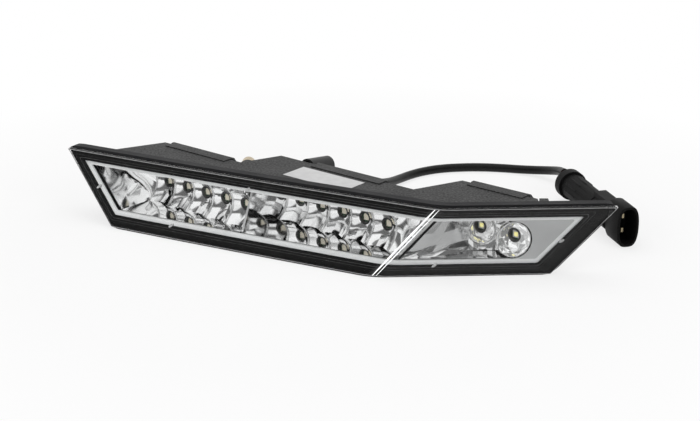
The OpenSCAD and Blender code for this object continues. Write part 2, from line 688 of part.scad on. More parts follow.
// Circuit boards and LEDs
board_y = [reflector_t + 0.1, reflector_t + 0.1, reflector_t + 0.4];
board_q0 = [-lamp_q(lamps - 1) - 12, -lamp_q(lamps - 1) - 10, -22];
board_q1 = [lamp_q(lamps - 1) + 8, lamp_q(lamps - 1) + 12, 17.2];
board_top = tray_z1 + 0.4;
module board(i) at_row(i) difference() {
    translate([board_q0[i], board_y[i], rail_z])
        cube([board_q1[i] - board_q0[i], board_t, board_top - rail_z]);
    for (x = [board_q0[i] + 3, board_q1[i] - 3]) translate([x, board_y[i] - 1, board_top - 3.5])
        rotate([-90, 0, 0]) cylinder(d = 2.4, h = board_t + 2, $fn = 24);
}
module led_board_left() place() color("green") board(0);
module led_board_middle() place() color("green") board(1);
module led_board_right() place() color("green") board(2);

led_size = 3.2;
led_h = 0.9;
white_led_size = 5;
module led_row(i, at, size) at_row(i)
    for (q = at) translate([q - size / 2, board_y[i] - led_h, mid_z - size / 2]) cube([size, led_h, size]);
amber_at = [for (k = [0:lamps - 1]) lamp_q(k)];
white_at = [-white_pitch / 2, white_pitch / 2];
module amber_leds_left() place() color("gold") led_row(0, amber_at, led_size);
module amber_leds_middle() place() color("gold") led_row(1, amber_at, led_size);
module white_leds() place() color("khaki") led_row(2, white_at, white_led_size);

collar_hole_d = collar_d + 0.2;
collar_wall = 1.2;
collar_rise = 0.8;
white_collar_d = 9.6;
module collar_row(i, at, d) at_row(i)
    for (q = at) translate([q, board_y[i], mid_z]) rotate([90, 0, 0]) difference() {
        cylinder(d = d, h = board_y[i] + collar_rise, $fn = 40);
        translate([0, 0, -1]) cylinder(d = d - 2 * collar_wall, h = board_y[i] + collar_rise + 2, $fn = 40);
    }
module led_collars_left() place() color("dimgray") collar_row(0, amber_at, collar_d);
module led_collars_middle() place() color("dimgray") collar_row(1, amber_at, collar_d);
module led_collars_right() place() color("dimgray") collar_row(2, white_at, white_collar_d);

optic_r = collar_d / 2 - collar_wall;
module optic_row(i) at_row(i)
    for (q = amber_at) translate([q, board_y[i] - led_h, mid_z]) rotate([90, 0, 0]) intersection() {
        scale([1, 1, 0.8]) sphere(r = optic_r, $fn = 24);
        cylinder(r = optic_r + 1, h = optic_r, $fn = 24);
    }
module led_optics_left() place() color("orange") optic_row(0);
module led_optics_middle() place() color("orange") optic_row(1);

// Heat sink behind the white LEDs, and the driver board in the middle tooth
sink_y = board_y[2] + board_t;
sink_t = 2;
sink_depth = 6.5;
fin_pitch = 5;
module heat_sink() place() color("lightgray") at_row(2) {
    translate([-20, sink_y, rail_z]) cube([34, sink_t, 26]);
    for (q = [-20:fin_pitch:12]) translate([q, sink_y, rail_z]) cube([1.4, sink_depth, 26]);
}

driver_size = [47, 11, 1.6];
driver_chips = [
    [3, 2, 7, 6, 2.4], [13, 3, 5, 5, 1.6], [21, 2.5, 8, 6, 4], [32, 2, 4, 7, 3], [39, 3, 6, 5, 1.8]
];
module driver_board() place() color("green") at_row(1) translate([-34, 5.4, rail_z]) {
    cube(driver_size);
    for (c = driver_chips) translate([c[0], c[1], driver_size.z - 0.1]) cube([c[2], c[3], c[4]]);
}

// Rear covers
module cover_blank(i, trim, y0, t, cut) at_row(i) translate([cover_mid[i], y0 + t, 0]) rotate([90, 0, 0]) {
    x = cover_len[i] / 2 - trim;
    z0 = cover_z0 + trim;
    z1 = cover_z1 - trim;
    linear_extrude(t) polygon([
        [-x + cut, z0], [x - cut, z0], [x, z0 + cut], [x, z1 - cut],
        [x - cut, z1], [-x + cut, z1], [-x, z1 - cut], [-x, z0 + cut]
    ]);
}
module cover_holes(i) at_row(i) for (p = cover_screws_at(i)) translate([p.x, tooth_depth - 1, p.y])
    rotate([-90, 0, 0]) cylinder(d = screw_d, h = seal_t + cover_t + 3, $fn = 24);
module cover_seals() place() color("black") for (i = [0:2]) difference() {
    cover_blank(i, cover_rise, tooth_depth, seal_t, 2);
    cover_blank(i, cover_rise + 6.5, tooth_depth - 1, seal_t + 2, 2);
    cover_holes(i);
}
module cover(i) difference() {
    union() {
        cover_blank(i, 0, tooth_depth + seal_t, cover_t, 2);
        cover_blank(i, 7, tooth_depth + seal_t, cover_t + 1, 3);
        at_row(i) translate([cover_mid[i] - cover_len[i] / 2 + 3, tooth_depth - cover_lap, body_z1])
            cube([cover_len[i] - 6, cover_lap + seal_t + 0.5, cover_rise]);
    }
    cover_blank(i, 9, tooth_depth + seal_t - 1, 1.6, 3);
    cover_holes(i);
}
module rear_cover_left() place() color("dimgray") cover(0);
module rear_cover_middle() place() color("dimgray") difference() {
    cover(1);
    at_row(1) translate([gland_q, tooth_depth, gland_z]) rotate([-90, 0, 0])
        cylinder(d = gland_hole_d, h = 10, $fn = 40);
}
module rear_cover_right() place() color("dimgray") cover(2);

module cover_screws() place() color("silver") for (i = [0:2], p = cover_screws_at(i))
    at_row(i) translate([p.x, cover_face, p.y]) rotate([-90, 0, 0]) {
        difference() {
            cylinder(d = screw_head_d, h = screw_head_h, $fn = 24);
            translate([0, 0, screw_head_h - 1.2]) cylinder(d = 2.6, h = 2, $fn = 6);
        }
        translate([0, 0, -10]) cylinder(d = screw_d - 0.3, h = 10.1, $fn = 16);
    }

// Threaded brass bushes for the mounting screws
module mounting_bushes() place() color("goldenrod") for (i = [0:2])
    translate([boss_at[i].x, boss_end[i] - bush_in, boss_at[i].y]) rotate([-90, 0, 0]) difference() {
        union() {
            cylinder(d = bush_d, h = bush_in + bush_out, $fn = 48);
            translate([0, 0, bush_in]) cylinder(d = boss_d, h = 1, $fn = 48);
        }
        translate([0, 0, bush_in + bush_out - bush_bore_len])
            cylinder(d = bush_bore_d, h = bush_bore_len + 1, $fn = 48);
    }

// Rubber vent cap over the nipple: it droops towards its far end
cap_d = 13.4;
cap_y = tooth_depth + 1.6;
cap_len = 22;
cap_droop = 8;
cap_mouth_d = cap_d - 3;
module along_vent(y) at_row(1) translate([vent_q, y, vent_z]) rotate([-90, 0, 0]) children();
module vent_elbow() place() color("black") difference() {
    along_vent(cap_y) rotate([-cap_droop, 0, 0]) cylinder(d = cap_d, h = cap_len, $fn = 40);
    along_vent(cap_y - 3) cylinder(d = nipple_d + 0.1, h = tooth_depth + nipple_len - cap_y + 3.2, $fn = 32);
    along_vent(cap_y - 3) cylinder(d = cap_mouth_d, h = 6, $fn = 32);
    along_vent(cap_y) rotate([-cap_droop, 0, 0]) cylinder(d = vent_bore, h = cap_len + 1, $fn = 24);
}

// Blank label on top of the middle tooth
label_at = [-44, -10.7];
label_size = [53, 21, 0.2];
module label() place() color("white") at_row(1)
    translate([label_at.x, label_at.y, body_z1]) cube(label_size);

// Cable gland, cable and core wires
gland_y = 39.3;
module cable_gland() place() color("black") at_row(1) translate([gland_q, 0, gland_z]) rotate([-90, 0, 0])
    rotate_extrude($fn = 40) polygon([
        [cable_d / 2 + 0.15, tooth_depth], [gland_hole_d / 2 - 0.1, tooth_depth],
        [gland_hole_d / 2 - 0.1, cover_face + 1], [gland_d / 2 + 1.5, cover_face + 1],
        [gland_d / 2 + 1.5, cover_face + 3], [gland_d / 2, cover_face + 3.5],
        [gland_d / 2, cover_face + 8], [gland_d / 2 - 1.2, cover_face + 9],
        [gland_hole_d / 2 + 0.2, gland_y], [cable_d / 2 + 0.15, gland_y]
    ]);

cable_route = [
    row_pt(1, gland_q, gland_y, gland_z),
    [-10, 114.5, 20.7], [-4.5, 124, 19.2], [0, 135, 15.7], [5, 147, 11.2],
    [10.5, 159, 7.2], [16.5, 171, 4.2], [23.5, 183, 2.5], [32, 193.5, 2], [43, 202, 2],
    [56, 208, 2], [71, 211, 2], [87, 211.5, 2], [103, 209.5, 2], [117, 205.5, 2.3],
    [128.5, 199.5, 3.7], [137, 191, 6.2], [142.5, 180.5, 9.2], [145, 169, 11.5]
];
function smooth(pts, steps) = let (n = len(pts)) concat(
    [for (i = [0:n - 2], j = [0:steps - 1])
        let (a = pts[max(i - 1, 0)], b = pts[i], c = pts[i + 1], d = pts[min(i + 2, n - 1)], t = j / steps)
        0.5 * (2 * b + (c - a) * t + (2 * a - 5 * b + 4 * c - d) * t * t
            + (3 * b - a - 3 * c + d) * t * t * t)],
    [pts[n - 1]]);

// A round tube along a run of points
module tube(pts, r, sides) {
    n = len(pts);
    function dir(i) = unit(pts[min(i + 1, n - 1)] - pts[max(i - 1, 0)]);
    function side(i) = unit(cross(dir(i), [0, 0, 1]));
    polyhedron(
        [for (i = [0:n - 1], k = [0:sides - 1])
            let (a = k * 360 / sides) pts[i] + r * (cos(a) * side(i) + sin(a) * cross(side(i), dir(i)))],
        concat(
            [[for (k = [sides - 1:-1:0]) k]],
            [[for (k = [0:sides - 1]) (n - 1) * sides + k]],
            [for (i = [0:n - 2], k = [0:sides - 1])
                let (a = i * sides + k, b = i * sides + (k + 1) % sides)
                each [[a, b + sides, a + sides], [a, b, b + sides]]]
        )
    );
}
cable_start = row_pt(1, gland_q, tooth_depth + 6, gland_z);
module cable() place() color("black") tube(smooth(concat([cable_start], cable_route), 2), cable_d / 2, 12);

// Plug, pointing along its own y axis: 0 at the mouth, growing towards the cable
plug_mouth = [168.5, 51, 10.7];
plug_turn = 13.7;
plug_len = 102;
module at_plug() translate(plug_mouth) rotate([0, 0, plug_turn]) children();
collar_len = 9;
collar_lap = 4;
collar_bore = 12;
shroud_len = 21;
shroud_w = 15.5;
shroud_h = 28;
shroud_wall = 2;
shroud_drop = 12;
shroud_mid = shroud_h / 2 - shroud_drop;
rib_len = 18;
rib_end = plug_len - collar_len - 5;
module plug_round(d, y0, y1) translate([0, y0, 0]) rotate([-90, 0, 0]) cylinder(d = d, h = y1 - y0, $fn = 48);
module d_shape(w, h, y0, y1) translate([0, y1, shroud_mid]) rotate([90, 0, 0]) linear_extrude(y1 - y0)
    intersection() {
        circle(d = h, $fn = 64);
        translate([-w / 2, -h / 2 - 1]) square([w, h]);
    }
pin_size = [1.4, 11, 3];
pin_y = 9;
pin_z = [shroud_mid - 5, shroud_mid + 5];
module pins() for (z = pin_z) translate([-pin_size.x / 2, pin_y, z - pin_size.z / 2]) cube(pin_size);
module plug_shell() place() color("black") at_plug() difference() {
    union() {
        d_shape(shroud_w, shroud_h, 0, shroud_len);
        plug_round(plug_body_d, shroud_len - 1, plug_len - collar_len + collar_lap);
        for (a = [0:30:330]) rotate([0, a, 0]) translate([-0.8, rib_end - rib_len, plug_body_d / 2 - 0.6])
            cube([1.6, rib_len, 1.2]);
    }
    d_shape(shroud_w - 2 * shroud_wall, shroud_h - 2 * shroud_wall, -1, shroud_len - 4);
    for (e = wire_ends) translate([e[0], 0, e[1]]) plug_round(wire_d + 0.1, wire_stop, plug_len);
    pins();
}
module terminals() place() color("goldenrod") at_plug() pins();
module plug_collar() place() color("black") at_plug() difference() {
    union() {
        plug_round(plug_collar_d, plug_len - collar_len, plug_len - 1.5);
        plug_round(plug_collar_d - 3, plug_len - collar_len, plug_len);
    }
    plug_round(plug_body_d, plug_len - collar_len - 1, plug_len - collar_len + collar_lap);
    plug_round(collar_bore, plug_len - collar_len + 3, plug_len + 1);
}
latch_size = [9, 26, 8];
latch_z = 12;
module plug_latch() place() color("black") at_plug() difference() {
    translate([-latch_size.x / 2, shroud_len + 0.2, latch_z - latch_size.z]) cube(latch_size);
    plug_round(plug_body_d + 0.2, 0, plug_len / 2 + 10);
}

wire_d = 1.6;
wire_stop = plug_len - collar_len - collar_lap;
wire_ends = [[-2.8, 0], [1.6, 2.6], [1.6, -2.6]];
function plug_pt(x, y, z) =
    plug_mouth + x * concat(along(plug_turn), [0]) + y * concat(inward(plug_turn), [0]) + [0, 0, z];
module core_wires() place() color("orangered") for (e = wire_ends) {
    n = len(cable_route);
    ahead = unit(cable_route[n - 1] - cable_route[n - 2]);
    from = cable_route[n - 1] + 0.6 * ahead + [e[0] * 0.5, 0, e[1] * 0.5];
    tube(smooth([
        from, from + 5 * ahead, plug_pt(e[0], plug_len + 5, e[1]), plug_pt(e[0], plug_len - 6, e[1]),
        plug_pt(e[0], wire_stop + 6, e[1]), plug_pt(e[0], wire_stop, e[1])
    ], 2), wire_d / 2, 8);
}

housing();
lens();
lens_frame();
glue_seal();
bezel();
reflector_left();
reflector_middle();
reflector_right();
led_board_left();
led_board_middle();
led_board_right();
amber_leds_left();
amber_leds_middle();
white_leds();
led_collars_left();
led_collars_middle();
led_collars_right();
led_optics_left();
led_optics_middle();
heat_sink();
driver_board();
cover_seals();
rear_cover_left();
rear_cover_middle();
rear_cover_right();
cover_screws();
mounting_bushes();
vent_elbow();
label();
cable_gland();
cable();
core_wires();
plug_shell();
plug_collar();
plug_latch();
terminals();
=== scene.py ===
# %% [markdown]
# # A vehicle indicator lamp
# The real object is a corner lamp for a bumper: a clear lens creased once, a black frame
# moulded to its back, bright louvred reflectors behind it, and a dark housing that steps
# back in three teeth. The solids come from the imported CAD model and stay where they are.
# This notebook gives them materials, and replaces the pieces whose shine needs finer
# surfaces than the solids have.

# %% Load the fixed frame
import json
import math
import bmesh
import bpy
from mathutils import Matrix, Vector


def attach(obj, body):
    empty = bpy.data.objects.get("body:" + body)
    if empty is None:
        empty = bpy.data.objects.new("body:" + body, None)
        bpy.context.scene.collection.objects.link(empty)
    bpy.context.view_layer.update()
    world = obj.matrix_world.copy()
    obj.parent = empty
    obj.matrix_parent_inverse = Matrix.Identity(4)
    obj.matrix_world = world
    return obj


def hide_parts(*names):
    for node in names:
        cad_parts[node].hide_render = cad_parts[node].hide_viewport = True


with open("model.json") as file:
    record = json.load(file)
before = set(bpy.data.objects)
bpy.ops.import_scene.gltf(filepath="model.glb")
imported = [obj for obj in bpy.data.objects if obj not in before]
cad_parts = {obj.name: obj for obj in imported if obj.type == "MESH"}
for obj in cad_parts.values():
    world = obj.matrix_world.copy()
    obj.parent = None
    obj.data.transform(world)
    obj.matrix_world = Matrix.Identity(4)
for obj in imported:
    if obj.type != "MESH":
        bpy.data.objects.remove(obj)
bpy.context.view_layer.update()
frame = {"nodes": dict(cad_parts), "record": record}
nodes = frame["nodes"]

# %% [markdown]
# ## One drawing for every curved piece
# The lamp's face is flat on the right, turns at a rounded crease, and runs on to the left
# with a very gentle bow. Pieces could be placed on it by eye, but then nothing would fit.
# So the face has its own ruler, in millimetres: s runs along the lower edge from the
# crease, v runs up and w runs inward. A few functions turn these into a point of the
# scene, and every new surface lies exactly where the solids do.

# %% Sizes of the face
DRAWING_ORIGIN = Vector((31.39, -73.13, 1.3))
FACE_H, RAKE = 45, 0.9
RIGHT_LEN, LEFT_BOTTOM, LEFT_TOP = 111.5, 199, 284
RIGHT_BACK, LEFT_SWEEP = 2.5, 25.5
CREASE_R, BOW_R = 40, 6200
SHARP_CREASE = Vector((-0.67, -3.3))

TURN = math.radians(RIGHT_BACK + LEFT_SWEEP)
CREASE_HALF = CREASE_R * TURN / 2
CREASE_MID = (RIGHT_BACK - LEFT_SWEEP) / 2
print("crease is", round(2 * CREASE_HALF, 1), "mm wide along the edge")

# %% Directions along the face


def at(x, y, z):
    return (Vector((x, y, z)) + DRAWING_ORIGIN) / 1000


def along(a):
    return Vector((math.cos(math.radians(a)), math.sin(math.radians(a))))


def inward(a):
    return Vector((-math.sin(math.radians(a)), math.cos(math.radians(a))))


def heading(s):
    if abs(s) <= CREASE_HALF:
        return CREASE_MID + math.degrees(s / CREASE_R)
    return RIGHT_BACK if s > 0 else -LEFT_SWEEP + math.degrees((s + CREASE_HALF) / BOW_R)


def arc_step(r, a, b):
    a, b = math.radians(a), math.radians(b)
    return Vector((r * (math.sin(b) - math.sin(a)), r * (math.cos(a) - math.cos(b))))


print("the face heads", heading(-LEFT_BOTTOM), "degrees at its left end")

# %% From the ruler to a point
CREASE_FOOT = SHARP_CREASE + CREASE_R * (1 / math.cos(TURN / 2) - 1) * inward(CREASE_MID)


def plan(s):
    if abs(s) <= CREASE_HALF:
        return CREASE_FOOT + arc_step(CREASE_R, CREASE_MID, heading(s))
    if s > 0:
        turned = arc_step(CREASE_R, CREASE_MID, RIGHT_BACK)
        return CREASE_FOOT + turned + (s - CREASE_HALF) * along(RIGHT_BACK)
    turned = arc_step(CREASE_R, CREASE_MID, -LEFT_SWEEP)
    return CREASE_FOOT + turned + arc_step(BOW_R, -LEFT_SWEEP, heading(s))


def face_mm(s, v, w):
    p = plan(s) + w * inward(heading(s))
    return Vector((p.x + RAKE * v, p.y, v))


def face(s, v, w):
    return at(*face_mm(s, v, w))


print("crease foot:", [round(x, 4) for x in face(0, 0, 0)])

# %% [markdown]
# ## The camera
# The photo looks down at the lamp by twenty degrees. A camera could be moved until the
# picture looks right, but a fitted one is surer: the corners of the lamp were matched to
# the photo for a picture 700 wide, which gave the place, the tilt and the focal length.

# %% Camera at the photo's angle
CAMERA_SPOT, CAMERA_TILT = (-14.86, -749.6, 316.1), 70
PICTURE_WIDTH, FOCAL_IN_PIXELS, SENSOR_MM = 700, 1300, 36


def new_object(name, data):
    made = bpy.data.objects.new(name, data)
    bpy.context.scene.collection.objects.link(made)
    return made


camera = new_object("camera", bpy.data.cameras.new("camera"))
camera.location = at(*CAMERA_SPOT)
camera.rotation_euler = (math.radians(CAMERA_TILT), 0, 0)
camera.data.sensor_width = SENSOR_MM
camera.data.lens = FOCAL_IN_PIXELS / PICTURE_WIDTH * SENSOR_MM
camera.data.clip_start = 0.05
bpy.context.scene.camera = camera
bpy.context.scene.view_settings.view_transform = "Standard"
print("camera at", [round(x, 3) for x in camera.location])

# %% [markdown]
# ## Making a mesh from points
# Every new piece is a list of points and faces. Such a list could be joined by hand in edit
# mode, but a rule that writes it can be changed later by one number. One helper makes the
# mesh, merges double points, keeps edges sharp that turn by more than a given angle, hides
# the solids that the piece stands for, and takes its finish from its slot unless one is given.

# %% A piece from points and faces
paints = {}


def wear(piece, material):
    piece.data.materials.clear()
    piece.data.materials.append(material)


def make_piece(name, shape, slot, stands_for=(), smooth=35, finish=None):
    points, faces = shape
    mesh = bpy.data.meshes.new(name)
    mesh.from_pydata([Vector(p) for p in points], [], faces)
    made = bmesh.new()
    made.from_mesh(mesh)
    bmesh.ops.remove_doubles(made, verts=made.verts, dist=1e-6)
    bmesh.ops.recalc_face_normals(made, faces=made.faces)
    made.to_mesh(mesh)
    made.free()
    mesh.shade_smooth()
    mesh.set_sharp_from_angle(angle=math.radians(smooth))
    piece = new_object(name, mesh)
    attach(piece, "root")
    if stands_for:
        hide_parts(*stands_for)
    if finish or slot in paints:
        wear(piece, finish or paints[slot])
    return piece


print("ready to make pieces")

# %% [markdown]
# ## Tubes
# Plug, tabs, ridges, slabs and domes are all stacks of rings. Blender can bridge two edge
# loops, but only one pair at a time. So a helper lists the faces between any number of
# rings, another closes the two ends, and a third gives the turns of the points on a ring.

# %% Faces of a tube


def tube_faces(rings, sides):
    return [
        (r * sides + k, r * sides + (k + 1) % sides, (r + 1) * sides + (k + 1) % sides, (r + 1) * sides + k)
        for r in range(rings - 1) for k in range(sides)
    ]


def end_caps(rings, sides):
    last = (rings - 1) * sides
    return [tuple(range(sides)), tuple(range(last, last + sides))]


def turns_of(sides, shift=0.0):
    return [2 * math.pi * (k + shift) / sides for k in range(sides)]


print("a tube of 2 rings with 4 sides:", tube_faces(2, 4))

# %% [markdown]
# ## The plug
# The plug is a sealed two-pin connector. Its mouth is a tall rounded shroud that is open to
# the front, and its round body is ribbed for grip. It could be put together from a box and
# a cylinder, but the real one is moulded in one piece. So one tube runs through a list of
# rings, each with its distance behind the mouth, its kind of outline and its size. The
# list starts deep inside the shroud, and so the same tube also makes the open mouth.

# %% Outlines of the plug
PLUG_MOUTH, PLUG_TURN = Vector((168.5, 51, 10.7)), 13.7
SHROUD_W, SHROUD_H, SHROUD_MID, BODY_R = 15.5, 28, 2, 9
CORNER_X, CORNER_Z = 0.62, 0.85
RIBS, RIB_H = 12, 0.6


def plug_place(x, y, z):
    p = x * along(PLUG_TURN) + y * inward(PLUG_TURN)
    return at(PLUG_MOUTH.x + p.x, PLUG_MOUTH.y + p.y, PLUG_MOUTH.z + z)


def plug_outline(kind, size, turn):
    c, s = math.cos(turn), math.sin(turn)
    if kind == "tall":
        w, h = SHROUD_W / 2 - size, SHROUD_H / 2 - size
        return w * math.copysign(abs(c) ** CORNER_X, c), SHROUD_MID + h * math.copysign(abs(s) ** CORNER_Z, s)
    rib = RIB_H * max(0, math.cos(RIBS * turn)) ** 4 if kind == "ribbed" else 0
    return (size + rib) * c, (size + rib) * s


print("plug mouth at", [round(x, 3) for x in plug_place(0, 0, 0)])

# %% Plug shell
PLUG_SIDES = 96
PLUG_RINGS = [
    (17, "tall", 3.5), (16.9, "tall", 2.02), (1, "tall", 2), (0.2, "tall", 1.7), (0, "tall", 1.2),
    (0, "tall", 0.8), (0.3, "tall", 0.2), (1, "tall", 0), (19.6, "tall", 0), (20.6, "tall", 0.3),
    (21, "tall", 1), (21, "round", BODY_R - 0.3), (21.4, "round", BODY_R), (44, "round", BODY_R),
    (44.4, "round", BODY_R - 0.5), (46, "round", BODY_R - 0.5), (46.4, "round", BODY_R),
    (69.5, "round", BODY_R), (70.2, "ribbed", BODY_R), (87.4, "ribbed", BODY_R),
    (88, "round", BODY_R), (97, "round", BODY_R),
]
plug_points = []
for depth, kind, size in PLUG_RINGS:
    for turn in turns_of(PLUG_SIDES):
        x, z = plug_outline(kind, size, turn)
        plug_points.append(plug_place(x, depth, z))
plug_faces = tube_faces(len(PLUG_RINGS), PLUG_SIDES) + end_caps(len(PLUG_RINGS), PLUG_SIDES)
plug_shell = make_piece(
    "plug_shell_fine", (plug_points, plug_faces), "plug_plastic", ["plug_shell"], smooth=30
)
print("plug faces:", len(plug_shell.data.polygons))

# %% [markdown]
# ## The free cable
# The cable leaves its gland, drops to the ground, runs round behind the lamp and comes
# forward to the plug. It could be simulated as a rope, but the photo already shows how it
# lies. So it is one smooth curve with a round section, along the same points as the solid
# that carries its weight.

# %% Cable along its route
ROUTE = [
    (-17.48, 104.85, 20.7), (-10, 114.5, 20.7), (-4.5, 124, 19.2), (0, 135, 15.7), (5, 147, 11.2),
    (10.5, 159, 7.2), (16.5, 171, 4.2), (23.5, 183, 2.5), (32, 193.5, 2), (43, 202, 2),
    (56, 208, 2), (71, 211, 2), (87, 211.5, 2), (103, 209.5, 2), (117, 205.5, 2.3),
    (128.5, 199.5, 3.7), (137, 191, 6.2), (142.5, 180.5, 9.2), (145, 169, 11.5),
]
CABLE_R = 3.3

# The radius is set at each point, because the curve's box counts it. The bevel is then 1.
cable_line = bpy.data.curves.new("cable_sleeve", "CURVE")
cable_line.dimensions = "3D"
cable_line.bevel_depth = 1.0
cable_line.bevel_resolution = 6
cable_line.resolution_u = 8
cable_line.use_fill_caps = True
spline = cable_line.splines.new("BEZIER")
spline.bezier_points.add(len(ROUTE) - 1)
for point, place in zip(spline.bezier_points, ROUTE):
    point.co = at(*place)
    point.radius = CABLE_R / 1000
    point.handle_left_type = point.handle_right_type = "AUTO"
cable = new_object("cable_sleeve", cable_line)
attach(cable, "root")
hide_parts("cable")
steps = [(Vector(a) - Vector(b)).length for a, b in zip(ROUTE, ROUTE[1:])]
print("cable from point to point in mm:", round(sum(steps), 1))

# %% [markdown]
# ## What the cable is
# A real cable has a length and a stiffness that don't change when someone moves it. The
# curve alone doesn't say that it is free, or what hangs on it.

# %% [markdown]
# ## Small helpers for node trees
# Floor, light and finishes are all trees of nodes. They could be wired in the editor, but in
# a script a few short helpers keep a tree readable. The first two start a material and add
# a node, whose inputs are linked or set. The others spread a value over a range, take the
# larger of two values, and mix two colours or two shaders.

# %% Start a material and add a node


def new_material(name):
    material = bpy.data.materials.new(name)
    material.use_nodes = True
    tree = material.node_tree
    tree.nodes.clear()
    return material, tree, tree.nodes.new("ShaderNodeOutputMaterial")


def add(tree, kind, inputs=None, **settings):
    node = tree.nodes.new(kind)
    for key, value in settings.items():
        setattr(node, key, value)
    for key, value in (inputs or {}).items():
        if isinstance(value, bpy.types.NodeSocket):
            tree.links.new(value, node.inputs[key])
        else:
            node.inputs[key].default_value = value
    return node


print("nodes can be added and linked in one line")

# %% Values, colours and shaders


def span_of(tree, value, start, end, low=0.0, high=1.0):
    return add(tree, "ShaderNodeMapRange", {
        "Value": value, "From Min": start, "From Max": end, "To Min": low, "To Max": high,
    }).outputs[0]


def larger(tree, a, b):
    return add(tree, "ShaderNodeMath", {0: a, 1: b}, operation="MAXIMUM").outputs[0]


def mix_color(tree, share, a, b):
    return add(tree, "ShaderNodeMix", {0: share, 6: a, 7: b}, data_type="RGBA").outputs[2]


def mix_shader(tree, share, a, b):
    return add(tree, "ShaderNodeMixShader", {0: share, 1: a, 2: b}).outputs[0]


def grey(v, tint=(1, 1, 1)):
    return (v * tint[0], v * tint[1], v * tint[2], 1)


print("a middle grey:", grey(0.5))

# %% [markdown]
# ## The floor
# The photo has a pure white ground. A white backdrop could be lit until it clips, but that
# light would wash out the lamp. So the floor is pale, and its white is only shown to the
# camera and to mirrors, while a share of the real floor stays in it near the lamp and
# keeps the shadow. In front on the right it mirrors darker, as a studio's dark side does.

# %% Floor
FLOOR_SIZE = 6
bpy.ops.mesh.primitive_plane_add(size=FLOOR_SIZE)
floor = bpy.context.object
floor.name = "floor"
print("floor:", FLOOR_SIZE, "m wide")

# %% Floor paint
PALE, DARK_MIRROR = 0.86, 0.42
WHITE_NEAR, NEAR, FAR = 0.75, 0.2, 0.42


def mirror_rays(tree):
    rays = add(tree, "ShaderNodeLightPath")
    return rays, larger(tree, rays.outputs["Is Glossy Ray"], rays.outputs["Is Transmission Ray"])


floor_paint, tree, output = new_material("floor_paint")
spot = add(tree, "ShaderNodeTexCoord").outputs["Object"]
side = add(tree, "ShaderNodeSeparateXYZ", {0: spot}).outputs
away = add(tree, "ShaderNodeVectorMath", {0: spot}, operation="LENGTH").outputs["Value"]
pale = add(tree, "ShaderNodeBsdfDiffuse", {"Color": grey(PALE)}).outputs[0]
white = add(tree, "ShaderNodeEmission", {"Color": grey(1), "Strength": 1.0}).outputs[0]
dark = add(tree, "ShaderNodeEmission", {"Color": grey(DARK_MIRROR), "Strength": 1.0}).outputs[0]
seen = mix_shader(tree, span_of(tree, away, NEAR, FAR, WHITE_NEAR, 1.0), pale, white)
open_side = larger(tree, span_of(tree, side[1], -0.06, 0.02), span_of(tree, side[0], 0.0, -0.05))
rays, mirrored = mirror_rays(tree)
shown = mix_shader(tree, mirrored, pale, mix_shader(tree, open_side, dark, seen))
tree.links.new(mix_shader(tree, rays.outputs["Is Camera Ray"], shown, seen), output.inputs[0])
wear(floor, floor_paint)
print("floor paint:", floor_paint.name)

# %% [markdown]
# ## The room
# A real studio puts bright cards round a shiny object, with gaps between them, and the gaps
# draw the dark lines that make metal look like metal. Cards could be built as planes, but
# they would stand in the other views. So the world plays the room: mirrors see bright
# zones behind, above, ahead and far to the sides, and the camera sees plain white.

# %% World
GAP_LIGHT, ROOM_LIGHT, AHEAD_LIGHT = 0.14, 0.5, 0.85

world = bpy.data.worlds.new("studio")
world.use_nodes = True
bpy.context.scene.world = world
tree = world.node_tree
tree.nodes.clear()
way = add(tree, "ShaderNodeSeparateXYZ", {0: add(tree, "ShaderNodeTexCoord").outputs["Generated"]}).outputs
sideways = add(tree, "ShaderNodeMath", {0: way[0]}, operation="ABSOLUTE").outputs[0]
behind, above = span_of(tree, way[1], 0.0, 0.12), span_of(tree, way[2], 0.62, 0.72)
aside, ahead = span_of(tree, sideways, 0.95, 0.98), span_of(tree, way[1], -0.82, -0.88, 0.0, AHEAD_LIGHT)
bright = larger(tree, larger(tree, behind, ahead), larger(tree, above, aside))
level = span_of(tree, bright, 0.0, 1.0, GAP_LIGHT, 1.0)
cards = add(tree, "ShaderNodeBackground", {"Color": grey(1), "Strength": level}).outputs[0]
dim = add(tree, "ShaderNodeBackground", {"Color": grey(0.8), "Strength": ROOM_LIGHT}).outputs[0]
white = add(tree, "ShaderNodeBackground", {"Color": grey(1), "Strength": 1.0}).outputs[0]
rays, mirrored = mirror_rays(tree)
seen = mix_shader(tree, rays.outputs["Is Camera Ray"], mix_shader(tree, mirrored, dim, cards), white)
add(tree, "ShaderNodeOutputWorld", {0: seen})
print("world:", world.name)

# %% [markdown]
# ## Soft lamps
# Three large panels light the lamp: a broad one above and behind, and two in front. Small
# lamps would draw hard shadows that the photo lacks. They are hidden from mirrors and
# from light that comes through the lens, or they would show as blocks in the reflectors.

# %% Lamps
SOFT_LAMPS = [
    ("lamp_top", (0.0, 0.25, 1.1), (0, 0, 0), (1.2, 0.8), 6),
    ("lamp_front_left", (-0.7, -0.9, 0.6), (0, 0, 0.02), (0.6, 0.5), 4.5),
    ("lamp_front_right", (0.8, -0.8, 0.5), (0, 0, 0.02), (0.5, 0.5), 3.5),
]
for name, place, target, size, watts in SOFT_LAMPS:
    panel = bpy.data.lights.new(name, "AREA")
    panel.shape = "RECTANGLE"
    panel.size, panel.size_y = size
    panel.energy = watts
    lamp = new_object(name, panel)
    lamp.location = place
    lamp.rotation_euler = (Vector(target) - Vector(place)).to_track_quat("-Z", "Y").to_euler()
    lamp.visible_glossy = lamp.visible_transmission = False
print("lamps:", [name for name, *_ in SOFT_LAMPS])

# %% [markdown]
# ## Effects that several finishes share
# Grain, waves, haze and soft edges each turn up on more than one piece of the real lamp.
# Each effect could be wired anew in every material. Instead it is built once as a node
# group with named inputs, and every material sets its own values, so that one change
# reaches them all.

